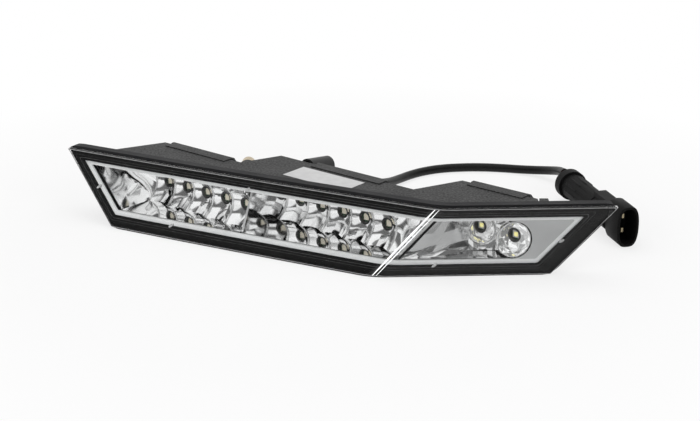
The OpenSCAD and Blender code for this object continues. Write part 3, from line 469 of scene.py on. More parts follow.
# %% A group with named inputs and outputs
COLOR, FLOAT, NORMAL = "NodeSocketColor", "NodeSocketFloat", "NodeSocketVector"


def new_group(name, inputs, outputs):
    group = bpy.data.node_groups.new(name, "ShaderNodeTree")
    for title, kind, default in inputs:
        group.interface.new_socket(title, in_out="INPUT", socket_type=kind).default_value = default
    for title, kind in outputs:
        group.interface.new_socket(title, in_out="OUTPUT", socket_type=kind)
    given = group.nodes.new("NodeGroupInput").outputs
    return group, given, group.nodes.new("NodeGroupOutput").inputs


def noise_in(tree, scale, detail):
    place = add(tree, "ShaderNodeTexCoord").outputs["Object"]
    return add(tree, "ShaderNodeTexNoise", {"Vector": place, "Scale": scale, "Detail": detail}).outputs[0]


def put_out(group, result, **values):
    for title, value in values.items():
        group.links.new(value, result[title])


SHINE = [("Color", COLOR), ("Roughness", FLOAT), ("Height", FLOAT)]
print("every finish puts out:", [title for title, _ in SHINE])

# %% [markdown]
# ## Grain
# Moulded plastic has a fine sparkle, and a shine that differs a little from place to place.
# One noise could drive both, but then every fleck would shine alike. So a fine noise gives
# the flecks and the relief, and a broad one gives the shine.

# %% Grain of moulded plastic
BROAD_SCALE = 35.0
grain_group, given, result = new_group("moulded_grain", [
    ("Color", COLOR, grey(0.1)), ("Fleck", COLOR, grey(0.2)), ("Grain", FLOAT, 1200.0),
    ("Low", FLOAT, 0.4), ("High", FLOAT, 0.6),
], SHINE)
fine, broad = noise_in(grain_group, given["Grain"], 3.0), noise_in(grain_group, BROAD_SCALE, 4.0)
fleck = span_of(grain_group, fine, 0.35, 0.75)
put_out(
    grain_group, result, Color=mix_color(grain_group, fleck, given["Color"], given["Fleck"]),
    Roughness=span_of(grain_group, broad, 0.3, 0.7, given["Low"], given["High"]), Height=fine,
)
print("group:", grain_group.name)

# %% [markdown]
# ## Waves
# Under a bright coat, the plastic is never quite flat, and what it mirrors wobbles. Moving
# the mesh would do that too, at the cost of many faces. A slow noise does it in the
# material, and its crests are a shade darker and duller.

# %% Waves of a bright coating
coat_group, given, result = new_group("bright_waves", [
    ("Color", COLOR, grey(0.9)), ("Shade", COLOR, grey(0.8)), ("Scale", FLOAT, 90.0),
    ("Low", FLOAT, 0.05), ("High", FLOAT, 0.12),
], SHINE)
wave = noise_in(coat_group, given["Scale"], 2.0)
shade = span_of(coat_group, wave, 0.35, 0.65)
put_out(
    coat_group, result, Color=mix_color(coat_group, shade, given["Color"], given["Shade"]),
    Roughness=span_of(coat_group, wave, 0.3, 0.7, given["Low"], given["High"]), Height=wave,
)
print("group:", coat_group.name)

# %% [markdown]
# ## Haze and soft edges
# Clear plastic has a trace of haze, and no moulded or turned edge is perfectly sharp. Each
# edge could be bevelled in the mesh, but the solids keep their meshes. The Bevel node
# rounds only the normals, which is enough for an edge to catch light.

# %% Haze of clear plastic, and softened edges
HAZE_SCALE = 60.0
haze_group, given, result = new_group(
    "clear_haze", [("Low", FLOAT, 0.0), ("High", FLOAT, 0.02)], [("Roughness", FLOAT)]
)
haze = noise_in(haze_group, HAZE_SCALE, 2.0)
put_out(haze_group, result, Roughness=span_of(haze_group, haze, 0.35, 0.65, given["Low"], given["High"]))

edge_group, given, result = new_group("soft_edges", [("Radius", FLOAT, 0.0003)], [("Normal", NORMAL)])
rounded = add(edge_group, "ShaderNodeBevel", {"Radius": given["Radius"]}, samples=4).outputs[0]
put_out(edge_group, result, Normal=rounded)
print("groups:", [g.name for g in bpy.data.node_groups])

# %% [markdown]
# ## From a group to a finish
# A finish is a Principled shader that takes its colour, shine and relief from a group. What
# is the same all over the surface, such as how metallic it is, is set on the shader itself.
# Ready-made flat colours would be quicker, but a real moulding is never that even.

# %% Materials from the groups


def place_group(tree, group, values):
    node = tree.nodes.new("ShaderNodeGroup")
    node.node_tree = group
    for key, value in values.items():
        node.inputs[key].default_value = value
    return node.outputs


def finish_with(name, group, values, bump=0.1, distance=0.0002, edge=0.0, **principled):
    material, tree, output = new_material(name)
    skin = place_group(tree, group, values)
    look = {"Base Color": skin["Color"], "Roughness": skin["Roughness"]}
    shader = add(tree, "ShaderNodeBsdfPrincipled", look)
    # A finish given Emission_Strength glows in its own colour: a painted glow on parts that are no lamps.
    if "Emission_Strength" in principled:
        tree.links.new(skin["Color"], shader.inputs["Emission Color"])
    for key, value in principled.items():
        shader.inputs[key.replace("_", " ")].default_value = value
    relief = add(tree, "ShaderNodeBump", {"Height": skin["Height"], "Strength": bump, "Distance": distance})
    if edge:
        tree.links.new(place_group(tree, edge_group, {"Radius": edge})["Normal"], relief.inputs["Normal"])
    tree.links.new(relief.outputs[0], shader.inputs["Normal"])
    tree.links.new(shader.outputs[0], output.inputs[0])
    paints[name] = material
    return material


print("a finish joins", edge_group.name, "with a group of its own")

# %% Two kinds of finish


def grain(name, color, fleck, scale, low, high, **more):
    values = {"Color": color, "Fleck": fleck, "Grain": scale, "Low": low, "High": high}
    return finish_with(name, grain_group, values, **more)


def coat(name, color, shade, scale, low, high, **more):
    values = {"Color": color, "Shade": shade, "Scale": scale, "Low": low, "High": high}
    return finish_with(name, coat_group, values, **more)


print("two kinds of finish: grain and coat")

# %% [markdown]
# ## Dark plastics
# The housing and its covers have a coarse leather-like grain that breaks up the light. The
# frame behind the lens is polished, and the plug is nearly matt. The grain could be cut
# into the mesh, but at half a millimetre that needs millions of faces, so it is relief in
# the material, with paler flecks where the grain's tips catch light.

# %% Housing, covers, frame and plug
grain("housing_plastic", grey(0.018), grey(0.09), 700, 0.55, 0.68,
      bump=0.6, distance=0.0004, edge=0.0005, Specular_IOR_Level=0.2)
grain("cover_plastic", grey(0.016), grey(0.065), 800, 0.5, 0.62,
      bump=0.5, distance=0.0004, edge=0.0004, Specular_IOR_Level=0.2)
grain("black_frame", grey(0.008), grey(0.012), 300, 0.1, 0.14, bump=0.004, Specular_IOR_Level=0.12)
grain("dark_collar", grey(0.03), grey(0.06), 900, 0.25, 0.4)
grain("plug_plastic", grey(0.005), grey(0.01), 900, 0.45, 0.58,
      bump=0.08, edge=0.0003, Specular_IOR_Level=0.08)
print("finishes:", len(paints))

# %% [markdown]
# ## Rubber, sealant and cable
# Rubber is dark and dull, with a fine tooth. The cable's sleeve is the smoothest of them,
# and thin orange wires come out of its end. One dark material could serve all of these,
# but side by side they differ in shine, and that is what tells them apart.

# %% Soft dark pieces, wires and label
grain("sealant", grey(0.06), grey(0.1), 400, 0.5, 0.7, bump=0.2)
grain("seal_rubber", grey(0.012), grey(0.02), 1200, 0.6, 0.75, bump=0.15, Specular_IOR_Level=0.25)
grain("vent_rubber", grey(0.008), grey(0.016), 900, 0.32, 0.45, edge=0.0003, Specular_IOR_Level=0.35)
grain("cable_sleeve", grey(0.004), grey(0.007), 500, 0.3, 0.42, bump=0.06, Specular_IOR_Level=0.22)
grain("wire_insulation", (0.5, 0.06, 0.02, 1), (0.6, 0.1, 0.03, 1), 400, 0.35, 0.45, bump=0.04)
grain("label_film", grey(0.6), grey(0.52), 160, 0.35, 0.45, bump=0.03)
print("finishes:", len(paints))

# %% [markdown]
# ## Bright coating and metals
# The reflectors are plastic with a thin coat of metal, as bright as a mirror but slightly
# wavy. The trim has the same coat over a matt surface. A perfect mirror would look like
# glass, so each of these has a little unevenness in its shine.

# %% Mirrors, trim, screws and bushes
coat("bright_metallising", grey(0.97), grey(0.92), 120, 0.04, 0.08, Metallic=1.0, bump=0.05, distance=0.0003)
coat("silver_trim", grey(0.66), grey(0.6), 60, 0.36, 0.44, Metallic=0.2, bump=0.02)
coat("heat_sink_metal", grey(0.7), grey(0.55), 80, 0.3, 0.42, Metallic=1.0, bump=0.05)
coat("screw_steel", grey(0.6), grey(0.5), 300, 0.25, 0.38, Metallic=1.0, bump=0.05, edge=0.0002)
coat("bush_brass", (0.62, 0.52, 0.36, 1), (0.5, 0.42, 0.3, 1), 200, 0.28, 0.4,
     Metallic=1.0, bump=0.05, edge=0.0002)
coat("terminal_metal", (0.7, 0.6, 0.4, 1), (0.6, 0.5, 0.33, 1), 200, 0.2, 0.3, Metallic=1.0, bump=0.03)
print("finishes:", len(paints))

# %% [markdown]
# ## Boards and LED packages
# A circuit board is green because of its thin solder mask, with copper and glass fibre
# below. An LED package is a pale block with phosphor, which looks yellow even when it is
# off. It would look dead as a plain pale block in the shade inside the housing, so it is
# given a faint painted glow, which stands in for light that doesn't reach it there.

# %% Boards and LED packages
SOLDER_MASK = (0.4, 1.2, 0.6)
grain("board", grey(0.06, SOLDER_MASK), grey(0.12, SOLDER_MASK), 900, 0.3, 0.45)
# Emission_Strength here is a painted glow: the LED is off, and the glow brightens it in the housing's shade.
grain("led_package", (0.92, 0.86, 0.42, 1), (0.96, 0.93, 0.62, 1), 900, 0.3, 0.4,
      bump=0.05, Emission_Strength=0.35)
print("finishes:", len(paints))

# %% [markdown]
# ## Clear plastic
# The lens bends what lies behind it, but a thin moulding bends it little. Plain glass would
# also stop the light of the lamps, because tracing light through glass takes long. So
# shadow rays pass straight through a see-through shader, and all other rays see glass.

# %% Clear lens and clear optics
LENS_BEND, HAZE_STEP = 1.3, 0.02


def clear(name, tint, roughness):
    material, tree, output = new_material(name)
    skin = place_group(tree, haze_group, {"Low": roughness, "High": roughness + HAZE_STEP})
    glass = add(tree, "ShaderNodeBsdfPrincipled", {
        "Base Color": tint, "Roughness": skin["Roughness"], "IOR": LENS_BEND, "Transmission Weight": 1.0,
    }).outputs[0]
    through = add(tree, "ShaderNodeBsdfTransparent", {"Color": (0.94, 0.95, 0.95, 1)}).outputs[0]
    shadow = add(tree, "ShaderNodeLightPath").outputs["Is Shadow Ray"]
    tree.links.new(mix_shader(tree, shadow, glass, through), output.inputs[0])
    paints[name] = material


clear("clear_lens", (0.985, 0.99, 0.99, 1), 0.0)
clear("clear_optic", (0.98, 0.98, 0.97, 1), 0.02)
print("finishes:", len(paints))

# %% [markdown]
# ## Dressing the solids
# Housing, covers, bushes, screws, gland and vent keep the shape that the CAD model gives
# them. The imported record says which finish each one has, so nothing is chosen twice here.

# %% Dress the solids that keep their shape
slot_of = {part["node"]: part["material_slot"] for part in frame["record"]["subparts"]}
for name, solid in nodes.items():
    wear(solid, paints[slot_of[name]])
wear(cable, paints["cable_sleeve"])
wear(plug_shell, paints["plug_plastic"])
print("dressed solids:", len(nodes))

# %% [markdown]
# ## The housing's dark lip
# The housing is grained all over, and the lip round the lens looks black. The lip could be
# a piece of its own, but it is one moulding with the rest. It is the only part that stands
# above the body's top and below its floor, so a mask made from the height darkens both of
# the grain's colours there.

# %% Dark lip
BODY_TOP, BODY_FLOOR, LIP_FADE = 0.0430, 0.0046, 0.0002
LIP_BLACK = (0.012, 0.012, 0.013, 1)

tree = paints["housing_plastic"].node_tree
skin = next(n for n in tree.nodes if n.type == "GROUP" and n.node_tree == grain_group)
height = add(tree, "ShaderNodeSeparateXYZ", {0: add(tree, "ShaderNodeTexCoord").outputs["Object"]}).outputs[2]
lip = larger(
    tree, span_of(tree, height, BODY_TOP, BODY_TOP + LIP_FADE),
    span_of(tree, height, BODY_FLOOR, BODY_FLOOR - LIP_FADE),
)
for title in ("Color", "Fleck"):
    own = tuple(skin.inputs[title].default_value)
    tree.links.new(mix_color(tree, lip, own, LIP_BLACK), skin.inputs[title])
print("lip above", BODY_TOP, "and below", BODY_FLOOR)

# %% [markdown]
# ## Rings round the face
# The lens frame and the trim are rings that follow the outline of the face. A bevelled
# curve could draw them, but it would twist where the outline turns. So one outline is
# inset and repeated at several depths, and its loops are joined. It has many more points
# than the solid's, and so the crease and the rounded corners look smooth.

# %% Ends of the face
LEFT_HEADING = heading(-(LEFT_BOTTOM + LEFT_TOP) / 2)
LEFT_LEAN = (LEFT_BOTTOM - LEFT_TOP) / FACE_H
LEFT_RUN = LEFT_LEAN + RAKE * math.cos(math.radians(LEFT_HEADING))
LEFT_RISE = math.hypot(1, RAKE * math.sin(math.radians(LEFT_HEADING)))
LEFT_SLANT = math.hypot(1, LEFT_RUN / LEFT_RISE)
RIGHT_SLANT = math.hypot(1, RAKE * math.cos(math.radians(RIGHT_BACK)))


def left_s(v, inset):
    return -LEFT_BOTTOM + LEFT_LEAN * v + inset * LEFT_SLANT


def right_s(inset):
    return RIGHT_LEN - inset * RIGHT_SLANT


def spread(a, b, n):
    return [a + (b - a) * i / n for i in range(n + 1)]


print("upper left corner at s =", round(left_s(FACE_H, 0), 1))

# %% Rounded corners of a ring
CREASE = spread(-CREASE_HALF, CREASE_HALF, 40)
CORNER_STEPS, BESIDE_CREASE = 8, 6


def corner(p, before, after, run):
    a = p + run * (before - p).normalized()
    b = p + run * (after - p).normalized()
    return [(1 - t) ** 2 * a + 2 * t * (1 - t) * p + t * t * b for t in spread(0, 1, CORNER_STEPS)]


print("points at the crease:", len(CREASE))

# %% Outline of the face


def outline(ins, run):
    left, right, low, high = ins[0], right_s(ins[1]), ins[2], FACE_H - ins[3]
    bl, br = Vector((left_s(low, left), low)), Vector((right, low))
    tr, tl = Vector((right, high)), Vector((left_s(high, left), high))
    lows = spread(-LEFT_BOTTOM + 30, -CREASE_HALF - BESIDE_CREASE, 16) + CREASE
    highs = spread(-LEFT_TOP + 60, -CREASE_HALF - BESIDE_CREASE, 20) + CREASE
    return (
        corner(bl, tl, br, run / 2) + [Vector((s, low)) for s in lows] + corner(br, bl, tr, run / 2)
        + corner(tr, br, tl, run) + [Vector((s, high)) for s in reversed(highs)] + corner(tl, tr, bl, run)
    )


def ring_mesh(profile):
    loops = [[face(p.x, p.y, w) for p in outline(ins, run)] for ins, w, run in profile]
    n, k = len(loops[0]), len(loops)
    faces = [
        (i * n + j, (i + 1) % k * n + j, (i + 1) % k * n + (j + 1) % n, i * n + (j + 1) % n)
        for i in range(k) for j in range(n)
    ]
    return [p for loop in loops for p in loop], faces


def inset_from(base, more):
    return [b + more for b in base]


# Insets from the lens's edge at the left, the right, below and above.
EDGE, WINDOW = [0, 0, 0, 0], [5, 11, 7.1, 7.1]
CORNER_RUN = 2.5
print("outline points:", len(outline(EDGE, CORNER_RUN)))

# %% [markdown]
# ## Sheets
# Lens, plate, trays and facets are sheets with a front, a back and a closed rim. A flat
# mesh with a Solidify modifier would do for an even sheet, but these differ in front and
# behind. So a helper takes both grids of points and joins them round the rim.

# %% A closed sheet from two grids


def sheet_mesh(front, back, place):
    m, n = len(front), len(front[0])
    size = m * n
    points = [place(*p) for row in front + back for p in row]
    faces = []
    for i in range(m - 1):
        for j in range(n - 1):
            a, b = i * n + j, (i + 1) * n + j
            faces += [(a, a + 1, b + 1, b), (size + a, size + b, size + b + 1, size + a + 1)]
        for j in (0, n - 1):
            a, b = i * n + j, (i + 1) * n + j
            faces.append((a, b, size + b, size + a))
    for a in list(range(n - 1)) + list(range(size - n, size - 1)):
        faces.append((a, size + a, size + a + 1, a + 1))
    return points, faces


print("sheets are closed all round")

# %% [markdown]
# ## The clear lens
# The real lens is one thick moulding with a rounded edge, and light bends evenly through
# it. A few large faces would show kinks in what lies behind. So the sheet has many stations
# along the face, and more of them at the crease, at both ends and in the rounded edge.

# %% Edges of the lens
LENS_T, ROUND_RUN = 2.8, 1.5
EDGE_ROUND = [(0, 1.2), (0.08, 0.85), (0.25, 0.55), (0.55, 0.28), (0.95, 0.1), (ROUND_RUN, 0)]
END_ROUND = [(0, 1.2), (0.3, 0.7), (0.8, 0.25), (ROUND_RUN, 0)]


def between(table, x):
    for (x0, y0), (x1, y1) in zip(table, table[1:]):
        if x0 <= x <= x1:
            return y0 + (y1 - y0) * (x - x0) / (x1 - x0 or 1)
    return table[0][1] if x < table[0][0] else table[-1][1]


def edge_walk(points, step):
    order = range(len(points))
    left, right = min(order, key=lambda i: points[i].x), max(order, key=lambda i: points[i].x)
    found = [(points[right].x, points[right].y)]
    while left != right:
        found.append((points[left].x, points[left].y))
        left = (left + step) % len(points)
    return sorted(found)


lens_outline = outline(EDGE, CORNER_RUN)
lower, upper = edge_walk(lens_outline, 1), edge_walk(lens_outline, -1)
print("lens runs from s =", round(lower[0][0], 1), "to", round(lower[-1][0], 1))

# %% Lens
END_STEPS = [0.2, 0.5, 1, 1.6, 2.4, 4]


def lens_row(s, first, last):
    a, b = between(lower, s), between(upper, s)
    side = between(END_ROUND, min(s - first, last - s))
    squeeze = min(1, (b - a) / (2.2 * ROUND_RUN))
    run = ROUND_RUN * squeeze
    up = [(a + e * squeeze, max(w, side)) for e, w in EDGE_ROUND]
    middle = [(a + run + (b - a - 2 * run) * t, side) for t in (0.1, 0.3, 0.5, 0.7, 0.9)]
    down = [(b - e * squeeze, max(w, side)) for e, w in reversed(EDGE_ROUND)]
    return [(s, v, w) for v, w in up + middle + down]


def lens_mesh():
    first, last = lower[0][0], lower[-1][0]
    stations = [first + e for e in END_STEPS] + spread(first + 6, -CREASE_HALF - 3, 70) + CREASE
    stations += spread(CREASE_HALF + 3, last - 6, 30) + [last - e for e in END_STEPS]
    front = [lens_row(s, first, last) for s in sorted(stations)]
    return sheet_mesh(front, [[(s, v, LENS_T) for s, v, _ in row] for row in front], face)


lens = make_piece("lens_fine", lens_mesh(), "clear_lens", ["lens"], smooth=40)
print("lens faces:", len(lens.data.polygons))

# %% [markdown]
# ## The black frame
# The frame is moulded to the back of the lens in glossy black. Its visible face has one
# fine step close to the window, which shows as a thin line all the way round. The step
# could be a painted line, but only a real step moves its glint when the view changes. So
# it is part of the ring's profile, given as inset, depth and corner size.

# %% Lens frame
FRAME_T, BOND, LEG_OUT, LEG_W, LEG_H = 1.6, 0.12, 0.5, 2.4, 2
FRAME_FRONT, FRAME_BACK = LENS_T + BOND, LENS_T + FRAME_T
LEG_END = FRAME_BACK + LEG_H
OUTER_LEG, INNER_LEG = inset_from(EDGE, LEG_OUT), inset_from(EDGE, LEG_OUT + LEG_W)

frame_profile = [
    (OUTER_LEG, FRAME_FRONT, 11), (inset_from(WINDOW, -1.9), FRAME_FRONT, 4.5),
    (inset_from(WINDOW, -1.7), FRAME_FRONT + 0.35, 4.2), (inset_from(WINDOW, -0.35), FRAME_FRONT + 0.4, 2),
    (inset_from(WINDOW, -0.08), FRAME_FRONT + 0.5, 1.6), (WINDOW, FRAME_FRONT + 0.8, 1.5),
    (WINDOW, FRAME_BACK - 0.6, 1.5), (inset_from(WINDOW, -2.6), FRAME_BACK, 1.5),
    (INNER_LEG, FRAME_BACK, 5), (INNER_LEG, LEG_END, 5), (OUTER_LEG, LEG_END, 11),
]
lens_frame = make_piece("lens_frame_fine", ring_mesh(frame_profile), "black_frame", ["lens_frame"], smooth=25)
print("frame faces:", len(lens_frame.data.polygons))

# %% [markdown]
# ## The silver trim
# A matt silver ring borders the window and hides the edges of the reflectors. A flat ring
# would do from the front, but its inner edge shows from below. So it is made as the frame
# was, with a small rounded step at the inner edge.

# %% Trim ring
TRIM_W, TRIM_T, TRIM_RUN = 2.4, 1.4, 1.5
TRIM_FRONT = FRAME_BACK + 0.3
TRIM_BACK = TRIM_FRONT + TRIM_T
UNDER_FRAME = [4.9, 10, 6.1, 6.1]
INNER_TRIM = inset_from(WINDOW, TRIM_W)
trim_profile = [
    (UNDER_FRAME, TRIM_FRONT, TRIM_RUN), (inset_from(WINDOW, TRIM_W - 0.35), TRIM_FRONT, TRIM_RUN),
    (inset_from(WINDOW, TRIM_W - 0.08), TRIM_FRONT + 0.08, TRIM_RUN),
    (INNER_TRIM, TRIM_FRONT + 0.35, TRIM_RUN), (INNER_TRIM, TRIM_BACK, TRIM_RUN),
    (UNDER_FRAME, TRIM_BACK, TRIM_RUN),
]
ring_finish = coat("ring_finish", grey(0.97), grey(0.92), 60, 0.4, 0.5, bump=0.02)
trim = make_piece(
    "trim_ring", ring_mesh(trim_profile), "silver_trim", ["bezel"], smooth=25, finish=ring_finish
)
print("trim faces:", len(trim.data.polygons))

# %% [markdown]
# ## Tabs
# Small round tabs stand on the trim, where the black frame has notches for them. They hold
# the trim in place. Each could be a plain disc, but a disc has no edge for the light to
# catch. So each is a low dome of five rings.

# %% Tabs on the trim
TAB_PLACES = [(-234.8, 22.8), (-158.3, 7.0), (-129.0, 37.5), (32.5, 6.3), (97.8, 21.8)]
TAB_SIDES = 24
TAB_RINGS = [(0.0, 0.02), (0.8, 0.05), (1.15, 0.2), (1.3, 0.6), (1.3, 1.9)]

for number, (s, v) in enumerate(TAB_PLACES):
    points = [
        face(s + r * math.cos(a), v + r * math.sin(a), FRAME_FRONT + depth)
        for r, depth in TAB_RINGS for a in turns_of(TAB_SIDES)
    ]
    faces = tube_faces(len(TAB_RINGS), TAB_SIDES) + end_caps(len(TAB_RINGS), TAB_SIDES)[1:]
    make_piece(f"trim_tab_{number}", (points, faces), "silver_trim", ["bezel"])
print("tabs:", len(TAB_PLACES))

# %% [markdown]
# ## The plate at the right end
# A flat matt plate fills the window beyond the second cup, and its left edge is hollowed
# where the cup passes it. A boolean could cut that hollow, but it leaves long thin faces.
# So each row of the sheet simply starts where the cup ends at that height.

# %% Plate
CUP_B, CUP_B_R, CUP_GAP = face_mm(67.5, 22.3, 5.6), (11.2, 12), 0.5
PLATE_X, PLATE_MARGIN, PLATE_INSET, PLATE_T = 84, 6.5, 10.4, 1.2


def plate_start(v, w):
    h, x = (v - CUP_B.z) / (CUP_B_R[1] + CUP_GAP), PLATE_X
    if abs(h) < 1:
        x = max(PLATE_X, CUP_B.x + (CUP_B_R[0] + CUP_GAP) * math.sqrt(1 - h * h))
    near, far = face_mm(50, v, w).x, face_mm(100, v, w).x
    return 50 + 50 * (x - near) / (far - near)


def plate_rows(w):
    starts = [(plate_start(v, w), v) for v in spread(PLATE_MARGIN, FACE_H - PLATE_MARGIN, 48)]
    return [[(a + (right_s(PLATE_INSET) - a) * t, v, w) for a, v in starts] for t in spread(0, 1, 12)]


plate_front = TRIM_FRONT + 0.1
plate_shape = sheet_mesh(plate_rows(plate_front), plate_rows(plate_front + PLATE_T), face)
plate = make_piece("trim_plate", plate_shape, "silver_trim", ["bezel"], smooth=25)
print("plate faces:", len(plate.data.polygons))

# %% [markdown]
# ## Scoop reflectors
# Each amber row has a tray of five overlapping scoops, like louvres. A scoop is a piece of
# a paraboloid with its LED at the focus, which throws the light straight ahead, broken up
# into small pillows that spread it. Sculpting would lose that shape, so each point is
# worked out from its distance to the LED's axis. First the row needs a ruler of its own:
# q along the row, y back from the LEDs and z up.

# %% Places along the LED rows
LEFT, MIDDLE, RIGHT = 0, 1, 2
ROW_PLACES = [(-161.7, 29.3), (-60, 36.4), (59.8, 22.2)]
AXIS_TURN, MID_Z, PITCH, LEDS = 39, FACE_H / 2, 18.5, 5
ROW_DIR, ROW_BACK = along(-AXIS_TURN), inward(-AXIS_TURN)


def row_mid(i):
    s, w = ROW_PLACES[i]
    return plan(s) + w * inward(heading(s)) + Vector((RAKE * MID_Z, 0))


def row_mm(i, q, y, z):
    p = row_mid(i) + q * ROW_DIR + y * ROW_BACK
    return Vector((p.x, p.y, z))


def to_row(i, p):
    step = Vector((p.x, p.y)) - row_mid(i)
    return step.dot(ROW_DIR), step.dot(ROW_BACK)


def led_q(k):
    return (k - (LEDS - 1) / 2) * PITCH


print("row middles:", [[round(c, 1) for c in row_mid(i)] for i in (LEFT, MIDDLE, RIGHT)])

# %% [markdown]
# ## Where a row meets the lens
# The trays end just behind the lens, but rows and face aren't parallel. The meeting point
# could be solved with algebra for a flat face. The real one is bowed and leans, so it is
# found by steps: guess a place on the face, see how far off it is, and move by that much.

# %% Where a row meets the back of the lens
SEARCH_STEPS = 7


def front_y(i, q, z, w):
    s = ROW_PLACES[i][0] + q * 0.9
    for _ in range(SEARCH_STEPS):
        start = row_mid(i) + q * ROW_DIR - Vector((RAKE * z, 0)) - plan(s)
        y = (w - start.dot(inward(heading(s)))) / ROW_BACK.dot(inward(heading(s)))
        s += (start + y * ROW_BACK).dot(along(heading(s)))
    return y


print("from the middle LED to the frame:", round(-front_y(LEFT, 0, MID_Z, FRAME_BACK), 1), "mm")

# %% [markdown]
# ## A scoop and its pillows
# Light that comes back from a plain paraboloid is one narrow beam. Real scoops are covered
# with low pillows that spread it. They could be made with a displacement, but the height
# is simple enough to write down: it is nothing at a pillow's rim and most in its middle.

# %% One scoop with its pillows
SCOOP_FOCUS, RIDGE, REFLECTOR_T = 5, 1.1, 1.8
PILLOWS_ACROSS, PILLOWS_UP, PILLOW_FINE = 3, 4, 6
FLUTE_H, PILLOW_H = 0.2, 0.08
TRAY_FRONT = LEG_END + 1
WALL_FRONT = TRAY_FRONT + 0.6
TRAY_Z0 = 7.1 + TRIM_W - 0.1
TRAY_Z1 = FACE_H - TRAY_Z0
ROW_END = LEDS / 2 * PITCH
levels = spread(TRAY_Z0, TRAY_Z1, PILLOWS_UP * PILLOW_FINE)


def pillow(across, up):
    u, v = (across * PILLOWS_ACROSS) % 1, (up * PILLOWS_UP) % 1
    return FLUTE_H * (1 - (2 * u - 1) ** 2) + PILLOW_H * (1 - (2 * v - 1) ** 2)


def scoop_point(i, q, near, z):
    off = min(abs(q - near), PITCH / 2 - RIDGE)
    y = -(off * off + (z - MID_Z) ** 2) / (4 * SCOOP_FOCUS)
    if abs(q - near) < PITCH / 2 - RIDGE:
        y -= pillow((q - near) / PITCH + 0.5, (z - TRAY_Z0) / (TRAY_Z1 - TRAY_Z0))
    return (q, max(y, front_y(i, q, z, WALL_FRONT)), z)


print("levels in a tray:", len(levels))

# %% [markdown]
# ## Trays
# The real tray is one moulding: scoops in the middle, a floor and a roof that run forward
# to the lens, and ends that curl forward into smooth pockets. Separate pieces would show
# seams, so the tray is one sheet. It is made of upright columns, each of which starts on
# the floor's front edge, climbs the scoop and ends on the roof's front edge.

# %% Columns of a tray


def column(i, wall):
    (q0, _, _), (q1, _, _) = wall[0], wall[-1]
    start = (q0, front_y(i, q0, TRAY_Z0, TRAY_FRONT), TRAY_Z0)
    end = (q1, front_y(i, q1, TRAY_Z1, TRAY_FRONT), TRAY_Z1)
    return [start] + wall + [end]


def back_of(i, points, side, back):
    last, made = len(points) - 1, []
    for j, (q, y, z) in enumerate(points):
        q += side * REFLECTOR_T
        z += -REFLECTOR_T if j < 2 else REFLECTOR_T if j > last - 2 else 0
        made.append((q, front_y(i, q, z, TRAY_FRONT) if j in (0, last) else y + back * REFLECTOR_T, z))
    return made


def curl(a, c, b, t):
    return tuple((1 - t) ** 2 * x + 2 * t * (1 - t) * y + t * t * z for x, y, z in zip(a, c, b))


def scoop_columns(i):
    steps, half, columns = PILLOWS_ACROSS * PILLOW_FINE, PITCH / 2, []
    offs = [(j / steps - 0.5) * PITCH for j in range(steps)] + [-half + RIDGE, half - RIDGE]
    for k in range(LEDS):
        for off in sorted(offs):
            columns.append(column(i, [scoop_point(i, led_q(k) + off, led_q(k), z) for z in levels]))
    return columns + [column(i, [scoop_point(i, ROW_END, led_q(LEDS - 1), z) for z in levels])]


print("columns in a tray:", len(scoop_columns(LEFT)))

# %% [markdown]
# ## Holes for the LEDs
# Each scoop has a round hole through which its LED looks. A hole could be left out of the
# grid of points, but its edge would be ragged. So a short cylinder is cut from the tray
# with an exact boolean. The cutter is removed again once the result is kept.

# %% Round holes for the LEDs
HOLE_R, HOLE_SIDES, CUTTER_DEPTH = 4.5, 48, 0.012


def cut_holes(piece, i):
    made = bmesh.new()
    turn = Vector((ROW_BACK.x, ROW_BACK.y, 0)).to_track_quat("Z", "Y").to_matrix().to_4x4()
    for k in range(LEDS):
        spot = turn.copy()
        spot.translation = at(*row_mm(i, led_q(k), 0, MID_Z))
        bmesh.ops.create_cone(
            made, cap_ends=True, segments=HOLE_SIDES, radius1=HOLE_R / 1000, radius2=HOLE_R / 1000,
            depth=CUTTER_DEPTH, matrix=spot,
        )
    mesh = bpy.data.meshes.new("cutter")
    made.to_mesh(mesh)
    made.free()
    cutter = new_object("cutter", mesh)
    hole = piece.modifiers.new("holes", "BOOLEAN")
    hole.operation, hole.solver, hole.object = "DIFFERENCE", "EXACT", cutter
    cut = bpy.data.meshes.new_from_object(piece.evaluated_get(bpy.context.evaluated_depsgraph_get()))
    piece.modifiers.clear()
    piece.data = cut
    bpy.data.objects.remove(cutter)


def make_tray(name, i, front, back, stands_for):
    shape = sheet_mesh(front, back, lambda q, y, z: at(*row_mm(i, q, y, z)))
    tray = make_piece(name, shape, "bright_metallising", [stands_for], smooth=9)
    cut_holes(tray, i)
    return tray


print("holes are", 2 * HOLE_R, "mm wide")

# %% [markdown]
# ## The left tray
# At the lamp's left end the tray has no LED. It curls forward into a smooth pocket that
# mirrors dark and bright in large soft shapes. A flat wall would mirror one grey. So the
# pocket is a curve from the first scoop to the window's edge, with three low swellings.

# %% Left tray with its smooth pocket
BLOBS = [(-58, 29, 0.35, 4.2), (-64, 25, 0.3, 3.8), (-55, 17, 0.3, 4)]
POCKET_DEPTH, POCKET_GAP = 7, 4


def blob(q, z):
    return sum(h * math.exp(-((q - q0) ** 2 + (z - z0) ** 2) / (r * r)) for q0, z0, h, r in BLOBS)


def left_pocket_column(t):
    wall = []
    for z in levels:
        end = face_mm(left_s(z, WINDOW[0] + TRIM_W + 1), z, WALL_FRONT)
        eq, ey = to_row(LEFT, end)
        start = scoop_point(LEFT, -ROW_END, led_q(0), z)
        q, y, _ = curl(start, (eq, max(-POCKET_DEPTH, ey + POCKET_GAP), z), (eq, ey, z), t)
        wall.append((q, y - blob(q, z) * min(1, 4 * t * (1 - t)), z))
    return column(LEFT, wall)


